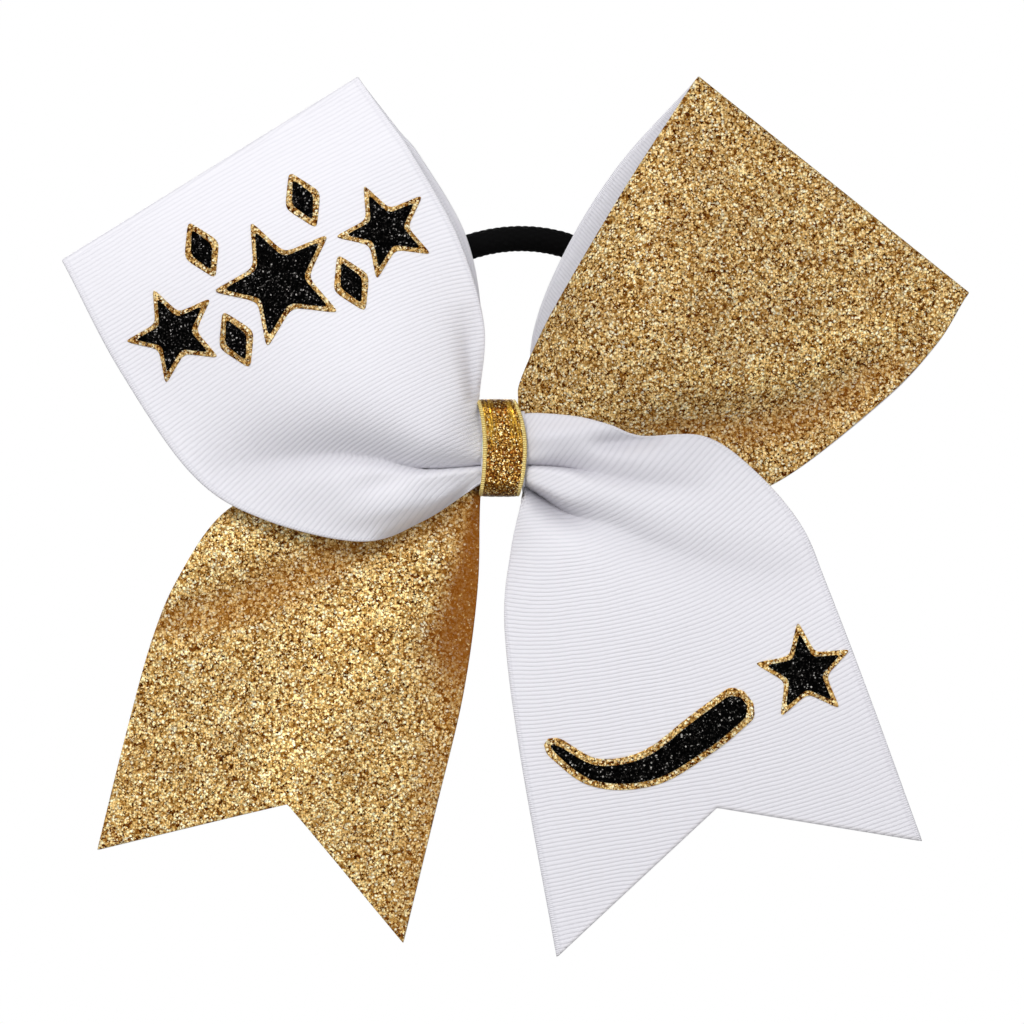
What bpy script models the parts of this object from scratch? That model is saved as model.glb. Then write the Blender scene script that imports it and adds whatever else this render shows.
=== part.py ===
"""Cheer hair bow: one wide grosgrain strip gathered into two loops and two notched tails.

Frame: metres, +Z up, front of the bow towards -Y. The origin is the centre of the flat back of the
centre band, where the bow sits against a ponytail. Every length below is in millimetres, and
to_metres() turns it into Blender units.
"""

from math import cos, pi, radians, sin

import bmesh
import bpy
import numpy as np
from mathutils import Vector
from mathutils.bvhtree import BVHTree

# Driving dimensions, in millimetres.
RIBBON_THICKNESS = 0.55
VINYL_THICKNESS = 0.30
CLEARANCE = 0.30
LAYER_PITCH = 3.3  # spacing of the three ribbon layers through the knot
BAND_WIDTH = 9.5
BAND_HEIGHT = 19.8
BAND_WALL = 0.8
BAND_DEPTH = 19.0
BAND_CORNER = 3.4  # outside corner radius of the band
ELASTIC_DIAMETER = 5.3
ELASTIC_HALF_WIDTH = 27.0
ELASTIC_HALF_HEIGHT = 23.5
ELASTIC_SEAT = 0.4  # how much of the ring's curve is lost where the band holds it straight
ELASTIC_CENTRE_X = 3.7
ELASTIC_LEAN = radians(18.0)
TIE_WIDTH = 2.5
TIE_THICKNESS = 0.8
TIE_CORNER = 1.6  # inside corner radius of the tie, round the gathered ribbon
KNOT_HALF_HEIGHT = 7.8
KNOT_INSET = 0.3  # how far the gathered ribbon stays inside each end of the band
GLUE_BEAD_HALF = (1.35, 0.38, 4.5)
ROOT_X = 5.5  # where each loop and tail leaves the knot, just outside the band
SKIN_LIFT = RIBBON_THICKNESS / 2 + CLEARANCE + VINYL_THICKNESS / 2  # vinyl over ribbon, middles
OUTLINE_MARGIN = 1.3  # how far a gold outline shows round its black top piece
BLOCK_CENTRE = np.array((-45.5, 34.0))  # x and z of the middle star on the left loop
BLOCK_TILT = radians(-26.0)  # the motifs lean a little less than the left loop's crease
BIG_STAR_RADIUS = 11.5
SMALL_STAR_RADIUS = 8.0
STAR_SPACING = 24.0
STAR_WAIST = 0.42  # a star's inner corners, as a share of its radius
TIP_REACH = 1.9  # how much further than the margin an outline star's tips stand out
DIAMOND_HALF_LONG = 4.6
DIAMOND_HALF_SHORT = 2.3
COMET_STAR_CENTRE = (61.5, -45.5)
COMET_STAR_TURN = radians(-8.0)
COMET_TRAIL = ((10.0, -60.5), (19.0, -66.0), (30.0, -65.0), (40.0, -58.5), (49.0, -51.5))
COMET_TRAIL_HALF_WIDTHS = (0.7, 1.7, 2.6, 3.1, 2.7)

# Depths from the band's flat back, worked out from the pieces stacked inside it.
ELASTIC_Y = -(BAND_WALL + CLEARANCE + ELASTIC_DIAMETER / 2)
TIE_BACK_Y = -(BAND_WALL + 2 * CLEARANCE + ELASTIC_DIAMETER)
TIE_FRONT_Y = -(BAND_DEPTH - BAND_WALL - CLEARANCE)
KNOT_BACK_Y = TIE_BACK_Y - TIE_THICKNESS - CLEARANCE
KNOT_FRONT_Y = TIE_FRONT_Y + TIE_THICKNESS + CLEARANCE
MIDDLE_LAYER_Y = (KNOT_BACK_Y + KNOT_FRONT_Y) / 2
FRONT_LAYER_Y = MIDDLE_LAYER_Y - LAYER_PITCH
BACK_LAYER_Y = MIDDLE_LAYER_Y + LAYER_PITCH

# Grid of each ribbon: columns across it, rows along it.
COLUMNS = 12
LOOP_ROWS = 12
TAIL_ROWS = 15

WHITE = ((0.78, 0.78, 0.83), 0.75, 0.0)
GOLD = ((0.48, 0.29, 0.11), 0.38, 0.7)
BAND_GOLD = ((0.32, 0.17, 0.04), 0.35, 0.8)
BLACK_GLITTER = ((0.012, 0.012, 0.014), 0.45, 0.2)
BLACK_ELASTIC = ((0.006, 0.006, 0.008), 0.8, 0.0)
NYLON = ((0.75, 0.75, 0.72), 0.4, 0.0)
GLUE = ((0.80, 0.76, 0.62), 0.3, 0.0)


def to_metres(millimetres):
    return np.asarray(millimetres, float) / 1000.0


def clear_scene():
    for obj in list(bpy.data.objects):
        bpy.data.objects.remove(obj, do_unlink=True)


def new_collection(name):
    collection = bpy.data.collections.new(name)
    bpy.context.scene.collection.children.link(collection)
    return collection


def material(name, look):
    colour, roughness, metallic = look
    made = bpy.data.materials.new(name)
    made.use_nodes = True
    shader = made.node_tree.nodes["Principled BSDF"]
    shader.inputs["Base Color"].default_value = (*colour, 1.0)
    shader.inputs["Roughness"].default_value = roughness
    shader.inputs["Metallic"].default_value = metallic
    made.diffuse_color = (*colour, 1.0)
    return made


def smooth_curve(points, count):
    """count points, evenly spaced along a Catmull-Rom curve through the given points."""
    points = np.asarray(points, float)
    ends = np.vstack([2 * points[0] - points[1], points, 2 * points[-1] - points[-2]])
    fine = [points[:1]]
    steps = np.linspace(0.0, 1.0, 17)[1:, None]
    for a, b, c, d in zip(ends, ends[1:], ends[2:], ends[3:]):
        curve = 2 * b + (c - a) * steps
        curve = curve + (2 * a - 5 * b + 4 * c - d) * steps**2
        curve = curve + (3 * b - a - 3 * c + d) * steps**3
        fine.append(curve / 2)
    fine = np.vstack(fine)
    lengths = np.concatenate([[0.0], np.cumsum(np.linalg.norm(np.diff(fine, axis=0), axis=1))])
    wanted = np.linspace(0.0, lengths[-1], count)
    return np.column_stack([np.interp(wanted, lengths, fine[:, axis]) for axis in range(3)])


def layer(low_edge, high_edge, rows, bulge, skew=1.0):
    """A ribbon layer between two edge curves, as a (rows + 1, COLUMNS + 1, 3) grid.

    Each edge is a list of (x, y, z). bulge(along) is how far the middle stands towards -Y.
    """
    low = smooth_curve(low_edge, rows + 1)
    high = smooth_curve(high_edge, rows + 1)
    across = np.linspace(0.0, 1.0, COLUMNS + 1)[None, :, None]
    grid = low[:, None, :] * (1 - across) + high[:, None, :] * across
    along = np.linspace(0.0, 1.0, rows + 1)[:, None]
    arch = np.sin(pi * across[:, :, 0] ** skew)
    grid[:, :, 1] -= bulge(along) * arch
    return grid


def crease(front_end, back_end, outward):
    """The rows that turn the ribbon round from the front layer's end to the back layer's end."""
    centre = (front_end + back_end) / 2
    half = (front_end - back_end) / 2
    reach = np.linalg.norm(half, axis=1, keepdims=True) * outward
    rows = [centre + half * cos(turn) + reach * sin(turn) for turn in (pi / 4, pi / 2, 3 * pi / 4)]
    return np.array(rows)


def notch(grid, apex):
    """Cuts a V in a tail's end, with straight arms from its two tips to the apex, an x and z."""
    rows = np.arange(grid.shape[0])
    arms = []
    for tip in (grid[-1, 0], grid[-1, -1]):
        arm = np.array(apex) - tip[[0, 2]]
        arms.append((tip[[0, 2]], np.array((-arm[1], arm[0]))))
    cut = grid.copy()
    for column in range(COLUMNS + 1):
        flat = grid[:, column][:, (0, 2)]
        end = 0.0
        for tip, square in arms:
            side = (flat - tip) @ square
            side *= np.sign(side[-1] - side[0])
            end = max(end, np.interp(0.0, side, rows))
        wanted = np.linspace(0.0, end, len(rows))
        for axis in range(3):
            cut[:, column, axis] = np.interp(wanted, rows, grid[:, column, axis])
    return cut


def grid_mesh(name, grid):
    """A mesh of quads over a grid of points, in metres."""
    rows, columns = grid.shape[:2]
    mesh = bpy.data.meshes.new(name)
    faces = []
    for row in range(rows - 1):
        for column in range(columns - 1):
            first = row * columns + column
            faces.append((first, first + 1, first + columns + 1, first + columns))
    mesh.from_pydata(to_metres(grid.reshape(-1, 3)).tolist(), [], faces)
    mesh.update()
    return mesh


def add_object(name, mesh, look, collection, parent, at=(0.0, 0.0, 0.0)):
    """Links an object whose mesh is in world metres, with its own origin moved to at."""
    obj = bpy.data.objects.new(name, mesh)
    collection.objects.link(obj)
    obj.data.materials.append(material(name, look))
    obj.parent = parent
    obj.location = at
    return obj


def solid_sheet(obj, thickness, lift):
    """Thickens an open surface, with the middle of the sheet lifted along the surface's normals."""
    solidify = obj.modifiers.new("thickness", "SOLIDIFY")
    solidify.thickness = thickness / 1000.0
    solidify.offset = 2 * lift / thickness
    solidify.use_even_offset = False
    return obj


def rounded_rectangle(half_y, half_z, radius, turns=6):
    """Corner points of a rounded rectangle about the origin, in the Y-Z plane."""
    points = []
    corners = ((1, 1, 0.0), (-1, 1, pi / 2), (-1, -1, pi), (1, -1, 3 * pi / 2))
    for side_y, side_z, start in corners:
        for step in range(turns + 1):
            angle = start + step * pi / 2 / turns
            y = side_y * (half_y - radius) + radius * cos(angle)
            z = side_z * (half_z - radius) + radius * sin(angle)
            points.append((y, z))
    return points


def extruded(name, outlines, centre_y, width, look, collection):
    """A flat outline in the Y-Z plane with any inner outlines as holes, extruded along X."""
    curve = bpy.data.curves.new(name, "CURVE")
    curve.dimensions = "2D"
    curve.fill_mode = "BOTH"
    curve.extrude = width / 2000.0
    for outline in outlines:
        spline = curve.splines.new("POLY")
        spline.points.add(len(outline) - 1)
        for point, (y, z) in zip(spline.points, outline):
            point.co = (y / 1000.0, z / 1000.0, 0.0, 1.0)
        spline.use_cyclic_u = True
    obj = bpy.data.objects.new(name, curve)
    collection.objects.link(obj)
    curve.materials.append(material(name, look))
    obj.rotation_euler = (pi / 2, 0.0, pi / 2)
    obj.location = (0.0, centre_y / 1000.0, 0.0)
    return obj


def pleated_outline():
    """Outline of the gathered ribbon in the Y-Z plane: wavy front and back, flat top and bottom."""
    half_depth = (KNOT_BACK_Y - KNOT_FRONT_Y) / 2
    heights = np.linspace(-KNOT_HALF_HEIGHT, KNOT_HALF_HEIGHT, 33)
    wave = 0.35 * (1 + np.cos(heights / KNOT_HALF_HEIGHT * 3 * pi))
    past = np.clip(abs(heights) - KNOT_HALF_HEIGHT + TIE_CORNER, 0.0, TIE_CORNER)
    wave += TIE_CORNER - np.sqrt(TIE_CORNER**2 - past**2)
    back = [(half_depth - w, z) for w, z in zip(wave, heights)]
    front = [(-half_depth + w, z) for w, z in zip(wave[::-1], heights[::-1])]
    return back + front


def build_knot(collection):
    centre_y = (KNOT_BACK_Y + KNOT_FRONT_Y) / 2
    knot_width = BAND_WIDTH - 2 * KNOT_INSET
    extruded("knot_gathers", [pleated_outline()], centre_y, knot_width, WHITE, collection)

    tie_half_y = (TIE_BACK_Y - TIE_FRONT_Y) / 2
    tie_half_z = KNOT_HALF_HEIGHT + CLEARANCE + TIE_THICKNESS
    outer = rounded_rectangle(tie_half_y, tie_half_z, TIE_CORNER + TIE_THICKNESS)
    inner = rounded_rectangle(tie_half_y - TIE_THICKNESS, tie_half_z - TIE_THICKNESS, TIE_CORNER)
    extruded("cinch_tie", [outer, inner], centre_y, TIE_WIDTH, NYLON, collection)

    band_half_y = BAND_DEPTH / 2
    band_half_z = BAND_HEIGHT / 2
    inner_corner = BAND_CORNER - BAND_WALL
    outer = rounded_rectangle(band_half_y, band_half_z, BAND_CORNER)
    inner = rounded_rectangle(band_half_y - BAND_WALL, band_half_z - BAND_WALL, inner_corner)
    extruded("centre_band", [outer, inner], -band_half_y, BAND_WIDTH, BAND_GOLD, collection)

    bead_x = (TIE_WIDTH / 2 + BAND_WIDTH / 2) / 2
    for name, side in (("glue_bead_left", -1), ("glue_bead_right", 1)):
        bead = bmesh.new()
        bmesh.ops.create_uvsphere(bead, u_segments=12, v_segments=8, radius=1.0)
        bmesh.ops.scale(bead, vec=Vector(to_metres(GLUE_BEAD_HALF)), verts=bead.verts)
        mesh = bpy.data.meshes.new(name)
        bead.to_mesh(mesh)
        bead.free()
        mesh.shade_smooth()
        at = to_metres((side * bead_x, TIE_FRONT_Y + TIE_THICKNESS / 2, 0.0))
        add_object(name, mesh, GLUE, collection, None, at)


def joint_empty(name, at, collection):
    """An empty on a joint's axis; the pieces that turn there are its children."""
    empty = bpy.data.objects.new(name, None)
    empty.empty_display_size = 0.01
    empty.location = to_metres(at)
    collection.objects.link(empty)
    return empty


def add_sheet(name, grid, thickness, look, collection, pivot, lift=0.0):
    """A ribbon or vinyl sheet whose origin is its joint's empty."""
    mesh = grid_mesh(name, grid - np.array(pivot["at"]))
    mesh.shade_smooth()
    obj = add_object(name, mesh, look, collection, pivot["empty"])
    return solid_sheet(obj, thickness, lift)


def make_pivot(name, at, collection):
    return {"at": at, "empty": joint_empty(name, at, collection)}


def loop_left_grid():
    """Left loop: white front layer from the knot to its crease, then the back layer home again."""
    y_front, y_back = FRONT_LAYER_Y, BACK_LAYER_Y
    front_low = [
        (-ROOT_X, y_front, -7.6),
        (-16.4, y_front - 2.2, -14.6),
        (-29.0, y_front - 3.6, -18.8),
        (-49.2, y_front - 4.0, -14.1),
        (-63.5, y_front - 2.4, -5.0),
        (-78.5, y_front + 1.2, 16.4),
        (-89.8, -13.2, 37.8),
    ]
    front_high = [
        (-ROOT_X, y_front, 8.8),
        (-3.9, y_front - 1.6, 26.0),
        (-9.2, y_front - 2.6, 43.0),
        (-19.3, y_front - 1.0, 59.5),
        (-29.2, -13.2, 75.3),
    ]
    back_low = [
        (-ROOT_X, y_back, -6.8),
        (-22.0, y_back + 1.6, -3.5),
        (-52.0, y_back + 1.8, 4.0),
        (-75.0, y_back - 0.4, 22.0),
        (-89.8, -11.0, 37.8),
    ]
    back_high = [
        (-ROOT_X, y_back, 7.6),
        (-4.4, y_back + 1.0, 25.0),
        (-7.6, y_back + 1.2, 43.5),
        (-17.0, y_back - 0.2, 60.0),
        (-29.2, -11.0, 75.3),
    ]
    front = layer(front_low, front_high, LOOP_ROWS, lambda v: 9.5 * np.sin(pi * v**0.8))
    back = layer(back_low, back_high, LOOP_ROWS, lambda v: -0.6 * np.sin(pi * v))
    outward = np.array((-0.53, 0.0, 0.85))
    turn = crease(front[-1], back[-1], outward)
    return np.vstack([front, turn, back[::-1]])


def loop_right_grid():
    """Right loop: front layer from the knot to its crease, then the back layer home again."""
    y_front, y_back = MIDDLE_LAYER_Y, BACK_LAYER_Y
    front_low = [
        (ROOT_X, y_front, -7.6),
        (20.0, y_front - 0.6, -11.5),
        (40.0, y_front - 1.2, -11.5),
        (56.6, y_front - 1.4, -6.4),
        (78.0, y_front - 0.8, 10.0),
        (88.8, y_front - 0.4, 21.5),
        (94.6, -13.2, 30.9),
    ]
    front_high = [
        (ROOT_X, y_front, 8.8),
        (7.4, y_front - 1.4, 22.0),
        (13.7, y_front - 2.6, 33.8),
        (23.8, y_front - 2.6, 51.0),
        (30.6, y_front - 1.6, 62.0),
        (39.2, -13.2, 75.2),
    ]
    back_low = [
        (ROOT_X, y_back, -6.8),
        (26.0, y_back + 1.2, -4.5),
        (56.0, y_back + 1.4, 1.5),
        (82.0, y_back - 0.6, 17.0),
        (94.6, -11.0, 30.9),
    ]
    back_high = [
        (ROOT_X, y_back, 7.6),
        (6.3, y_back + 1.0, 24.0),
        (13.0, y_back + 1.2, 41.0),
        (24.0, y_back - 0.2, 58.5),
        (39.2, -11.0, 75.2),
    ]
    front = layer(front_low, front_high, LOOP_ROWS, lambda v: 9.5 * np.sin(pi * v) ** 1.6, 1.7)
    back = layer(back_low, back_high, LOOP_ROWS, lambda v: -0.6 * np.sin(pi * v))
    outward = np.array((0.62, 0.0, 0.78))
    turn = crease(front[-1], back[-1], outward)
    return np.vstack([front, turn, back[::-1]])


def tail_left_grid():
    """Left tail, from between the left loop's layers down to its notched end."""
    y = MIDDLE_LAYER_Y
    outer_edge = [
        (-ROOT_X, y, 5.5),
        (-22.0, y, -1.0),
        (-42.0, y, -6.0),
        (-57.0, y + 0.4, -13.0),
        (-66.6, y + 0.8, -26.5),
        (-72.0, y + 1.4, -39.2),
        (-78.0, y + 2.0, -61.0),
        (-83.2, y + 1.0, -82.2),
    ]
    inner_edge = [
        (-ROOT_X, y, -7.6),
        (-5.3, y - 1.2, -28.0),
        (-8.2, y - 2.4, -50.0),
        (-13.9, y - 2.4, -74.0),
        (-20.5, y - 1.0, -101.1),
    ]
    grid = layer(outer_edge, inner_edge, TAIL_ROWS, lambda v: 2.5 * np.sin(pi * v**0.8))
    return notch(grid, (-44.1, -72.6))


def tail_right_grid():
    """Right tail, lying over the right loop and hanging down to its notched end."""
    y = FRONT_LAYER_Y
    inner_edge = [
        (ROOT_X, y, -7.6),
        (5.2, y - 0.4, -12.0),
        (1.6, y - 1.0, -22.0),
        (0.4, y - 2.0, -38.0),
        (3.5, y - 2.0, -61.7),
        (11.1, y + 1.0, -103.9),
    ]
    outer_edge = [
        (ROOT_X, y, 7.2),
        (14.4, y - 2.4, 6.6),
        (28.0, y - 5.4, 2.2),
        (41.0, y - 6.4, 2.4),
        (51.3, y - 6.4, -4.7),
        (60.6, y - 5.6, -15.6),
        (66.0, y - 4.4, -28.0),
        (74.5, y - 3.0, -50.0),
        (85.7, y + 1.0, -80.2),
    ]
    grid = layer(inner_edge, outer_edge, TAIL_ROWS, lambda v: 2.5 * np.sin(pi * v**0.8))
    return notch(grid, (43.7, -73.2))


def star(centre, radius, turn):
    """Outline of a five-pointed star in the X-Z plane: tips and inner corners in turn."""
    outline = []
    for index in range(10):
        reach = radius if index % 2 == 0 else radius * STAR_WAIST
        angle = turn + index * pi / 5
        outline.append((centre[0] + reach * sin(angle), centre[1] + reach * cos(angle)))
    return outline


def diamond(centre, half_long, half_short, turn):
    """Outline of a diamond in the X-Z plane, with its long axis turned from +Z."""
    outline = []
    for quarter, reach in enumerate((half_long, half_short, half_long, half_short)):
        angle = turn + quarter * pi / 2
        outline.append((centre[0] + reach * sin(angle), centre[1] + reach * cos(angle)))
    return outline


def trail(points, half_widths, margin):
    """Outline of a curved trail in the X-Z plane, widened all round by margin."""
    middle = smooth_curve([(x, 0.0, z) for x, z in points], 11)[:, (0, 2)]
    widths = np.interp(np.linspace(0, 1, 11), np.linspace(0, 1, len(half_widths)), half_widths) + margin
    direction = np.gradient(middle, axis=0)
    direction /= np.linalg.norm(direction, axis=1, keepdims=True)
    middle[0] -= direction[0] * margin
    middle[-1] += direction[-1] * margin
    side = np.column_stack([-direction[:, 1], direction[:, 0]])
    left = middle + side * widths[:, None]
    right = middle - side * widths[:, None]
    return left, right


def fan_mesh(outline):
    """Points and triangles that fill a star-shaped outline from its middle, each split in four."""
    outline = np.array(outline)
    count = len(outline)
    middle = outline.mean(axis=0)
    spokes = (outline + middle) / 2
    rims = (outline + np.roll(outline, -1, axis=0)) / 2
    points = np.vstack([middle, spokes, outline, rims])
    faces = []
    for here in range(count):
        after = (here + 1) % count
        spoke, next_spoke = 1 + here, 1 + after
        tip, next_tip, rim = 1 + count + here, 1 + count + after, 1 + 2 * count + here
        faces += [(0, next_spoke, spoke), (spoke, rim, tip), (spoke, next_spoke, rim)]
        faces.append((next_spoke, next_tip, rim))
    return points, faces


def strip_mesh(sides):
    """Points and quads of a strip between two side lines, with a row down its middle."""
    left, right = sides
    count = len(left)
    points = np.vstack([left, (left + right) / 2, right])
    faces = []
    for row in range(2):
        for step in range(count - 1):
            first = row * count + step
            faces.append((first, first + 1, first + count + 1, first + count))
    return points, faces


def applique(name, flat, ribbon, lift, look, collection, pivot):
    """Lays a flat shape on the front of a ribbon, lifted off it, as a thin solid."""
    points, faces = flat
    placed = []
    for x, z in points:
        start = Vector(to_metres((x, -60.0, z)))
        hit, normal, _, _ = ribbon.ray_cast(start, Vector((0.0, 1.0, 0.0)))
        if hit is None:
            raise ValueError(f"{name} reaches past the ribbon at {x:.1f}, {z:.1f}")
        if normal.y > 0:
            normal = -normal
        placed.append(hit + normal * (lift / 1000.0) - Vector(to_metres(pivot["at"])))
    mesh = bpy.data.meshes.new(name)
    mesh.from_pydata([tuple(point) for point in placed], [], faces)
    mesh.update()
    facing = sum(polygon.normal.y * polygon.area for polygon in mesh.polygons)
    if facing > 0:
        mesh.flip_normals()
    obj = add_object(name, mesh, look, collection, pivot["empty"])
    return solid_sheet(obj, VINYL_THICKNESS, VINYL_THICKNESS / 2)


def smooth_tree(grid):
    """A tree for casting rays at a ribbon grid, in world metres."""
    rows, columns = grid.shape[:2]
    faces = []
    for row in range(rows - 1):
        for column in range(columns - 1):
            first = row * columns + column
            faces.append((first, first + 1, first + columns + 1, first + columns))
    return BVHTree.FromPolygons(to_metres(grid.reshape(-1, 3)).tolist(), faces)


def two_layers(name, make_flat, ribbon, collection, pivot):
    """A gold outline piece and the black piece pressed on top of it."""
    first_lift = RIBBON_THICKNESS / 2 + CLEARANCE
    second_lift = first_lift + VINYL_THICKNESS + CLEARANCE
    outline = make_flat(OUTLINE_MARGIN)
    applique(name + "_outline", outline, ribbon, first_lift, GOLD, collection, pivot)
    applique(name + "_top", make_flat(0.0), ribbon, second_lift, BLACK_GLITTER, collection, pivot)


def build_loop_left(collection):
    pivot = make_pivot("loop_left_flex", (-ROOT_X, MIDDLE_LAYER_Y, 0.0), collection)
    grid = loop_left_grid()
    add_sheet("loop_left_ribbon", grid, RIBBON_THICKNESS, WHITE, collection, pivot)
    ribbon = smooth_tree(grid[: LOOP_ROWS + 1])

    along = np.array((cos(BLOCK_TILT), -sin(BLOCK_TILT)))
    up = np.array((sin(BLOCK_TILT), cos(BLOCK_TILT)))
    for name, place, radius in (
        ("star_left", -STAR_SPACING, SMALL_STAR_RADIUS),
        ("star_middle", 0.0, BIG_STAR_RADIUS),
        ("star_right", STAR_SPACING, SMALL_STAR_RADIUS),
    ):
        centre = BLOCK_CENTRE + along * place

        def flat_star(margin, centre=centre, radius=radius):
            return fan_mesh(star(centre, radius + margin * TIP_REACH, BLOCK_TILT))

        two_layers(name, flat_star, ribbon, collection, pivot)
    for name, place, rise in (
        ("diamond_upper_left", -11.5, 13.0),
        ("diamond_upper_right", 11.5, 13.0),
        ("diamond_lower_left", -13.0, -6.8),
        ("diamond_lower_right", 13.0, -6.8),
    ):
        centre = BLOCK_CENTRE + along * place + up * rise

        def flat_diamond(margin, centre=centre):
            half_long = DIAMOND_HALF_LONG + margin * 1.5
            half_short = DIAMOND_HALF_SHORT + margin * 1.2
            return fan_mesh(diamond(centre, half_long, half_short, BLOCK_TILT))

        two_layers(name, flat_diamond, ribbon, collection, pivot)


def build_loop_right(collection):
    pivot = make_pivot("loop_right_flex", (ROOT_X, MIDDLE_LAYER_Y, 0.0), collection)
    grid = loop_right_grid()
    add_sheet("loop_right_ribbon", grid, RIBBON_THICKNESS, WHITE, collection, pivot)
    add_sheet("loop_right_glitter", grid, VINYL_THICKNESS, GOLD, collection, pivot, -SKIN_LIFT)


def build_tail_left(collection):
    pivot = make_pivot("tail_left_flex", (-ROOT_X, MIDDLE_LAYER_Y, 0.0), collection)
    grid = tail_left_grid()
    add_sheet("tail_left_ribbon", grid, RIBBON_THICKNESS, WHITE, collection, pivot)
    add_sheet("tail_left_glitter", grid, VINYL_THICKNESS, GOLD, collection, pivot, -SKIN_LIFT)


def build_tail_right(collection):
    pivot = make_pivot("tail_right_flex", (ROOT_X, FRONT_LAYER_Y, 7.2), collection)
    grid = tail_right_grid()
    add_sheet("tail_right_ribbon", grid, RIBBON_THICKNESS, WHITE, collection, pivot)
    ribbon = smooth_tree(grid)

    def flat_trail(margin):
        return strip_mesh(trail(COMET_TRAIL, COMET_TRAIL_HALF_WIDTHS, margin))

    def flat_star(margin):
        radius = SMALL_STAR_RADIUS + margin * TIP_REACH
        return fan_mesh(star(COMET_STAR_CENTRE, radius, COMET_STAR_TURN))

    two_layers("comet_trail", flat_trail, ribbon, collection, pivot)
    two_layers("comet_star", flat_star, ribbon, collection, pivot)


def build_elastic(collection):
    """One closed ring, leaning back from the knot, with its lowest point inside the band."""
    pivot_at = (0.0, ELASTIC_Y, 0.0)
    empty = joint_empty("elastic_swing", pivot_at, collection)
    curve = bpy.data.curves.new("hair_elastic", "CURVE")
    curve.dimensions = "3D"
    curve.bevel_depth = ELASTIC_DIAMETER / 2000.0
    curve.bevel_resolution = 3
    spline = curve.splines.new("POLY")
    count = 44
    spline.points.add(count - 1)
    for index, point in enumerate(spline.points):
        angle = 2 * pi * index / count
        x = ELASTIC_HALF_WIDTH * sin(angle)
        rise = max(ELASTIC_HALF_HEIGHT * (1 - cos(angle)) - ELASTIC_SEAT, 0.0)
        # The ring's middle line drifts from the band's centre to the ring's own centre.
        x += ELASTIC_CENTRE_X * (1 - cos(angle)) / 2
        y = rise * sin(ELASTIC_LEAN)
        z = rise * cos(ELASTIC_LEAN)
        point.co = (*to_metres((x, y, z)), 1.0)
    spline.use_cyclic_u = True
    ring = bpy.data.objects.new("hair_elastic", curve)
    collection.objects.link(ring)
    curve.materials.append(material("hair_elastic", BLACK_ELASTIC))
    ring.parent = empty


def main():
    clear_scene()
    collection = new_collection("cheer_hair_bow")
    build_knot(collection)
    build_loop_left(collection)
    build_loop_right(collection)
    build_tail_left(collection)
    build_tail_right(collection)
    build_elastic(collection)


main()
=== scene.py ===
"""The visible surfaces of the cheer hair bow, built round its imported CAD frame.

Surfaces are worked out in millimetres and turned into metres when a mesh is made. Each ribbon is one
fine grid that runs across the strip in columns and along it in rows.
"""

from math import cos, pi, radians, sin

import bmesh
import bpy
import numpy as np
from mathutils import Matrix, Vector
from mathutils.bvhtree import BVHTree


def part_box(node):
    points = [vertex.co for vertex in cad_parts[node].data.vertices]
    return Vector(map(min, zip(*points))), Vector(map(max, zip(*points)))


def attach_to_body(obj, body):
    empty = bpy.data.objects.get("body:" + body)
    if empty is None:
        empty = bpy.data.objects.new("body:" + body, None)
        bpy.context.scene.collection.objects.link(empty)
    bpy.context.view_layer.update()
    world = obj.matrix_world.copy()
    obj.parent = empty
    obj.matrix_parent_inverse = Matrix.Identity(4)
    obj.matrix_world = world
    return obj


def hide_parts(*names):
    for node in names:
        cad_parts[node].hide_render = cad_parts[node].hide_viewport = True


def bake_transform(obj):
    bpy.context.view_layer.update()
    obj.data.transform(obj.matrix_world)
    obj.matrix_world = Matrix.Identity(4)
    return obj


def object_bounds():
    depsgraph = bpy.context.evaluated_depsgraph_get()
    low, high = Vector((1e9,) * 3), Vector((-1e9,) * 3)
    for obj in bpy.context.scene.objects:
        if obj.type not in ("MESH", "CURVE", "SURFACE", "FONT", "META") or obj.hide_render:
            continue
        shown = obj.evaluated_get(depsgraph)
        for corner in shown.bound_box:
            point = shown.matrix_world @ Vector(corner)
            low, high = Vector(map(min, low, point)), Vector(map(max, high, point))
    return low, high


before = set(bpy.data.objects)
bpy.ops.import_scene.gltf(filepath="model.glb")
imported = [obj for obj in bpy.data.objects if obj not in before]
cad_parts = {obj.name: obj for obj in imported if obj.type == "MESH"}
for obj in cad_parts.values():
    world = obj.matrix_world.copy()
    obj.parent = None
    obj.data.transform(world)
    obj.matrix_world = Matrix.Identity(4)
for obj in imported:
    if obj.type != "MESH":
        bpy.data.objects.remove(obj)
cad_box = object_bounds()

MM = 0.001
RIBBON_WIDTH = 76.0
RIBBON_HALF = 0.26
FOLD_SHADE = 6.0  # a fold this deep is fully shaded
VINYL = 0.32
COLUMNS = 112
FRONT_ROWS = 141  # rows of points in a loop's front layer, and in its back layer
BACK_ROWS = 91
FILM_GAP = 0.02  # between a ribbon and the film on it
FAR_FROM_CUT = 50.0  # a loop has no cut end
ROOT_X = 5.5  # where the wings leave the band
INNER_X = 3.4  # where they end inside it

knot_low, knot_high = (np.array(c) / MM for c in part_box("knot_gathers"))
band_low, band_high = (np.array(c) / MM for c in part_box("centre_band"))
MIDDLE = (knot_low[1] + knot_high[1]) / 2
FRONT = MIDDLE - 3.3
BACK = MIDDLE + 3.3
CREASE_FRONT = MIDDLE - 0.9
CREASE_BACK = MIDDLE + 1.3


# ---------------------------------------------------------------- camera, light and floor

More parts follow.
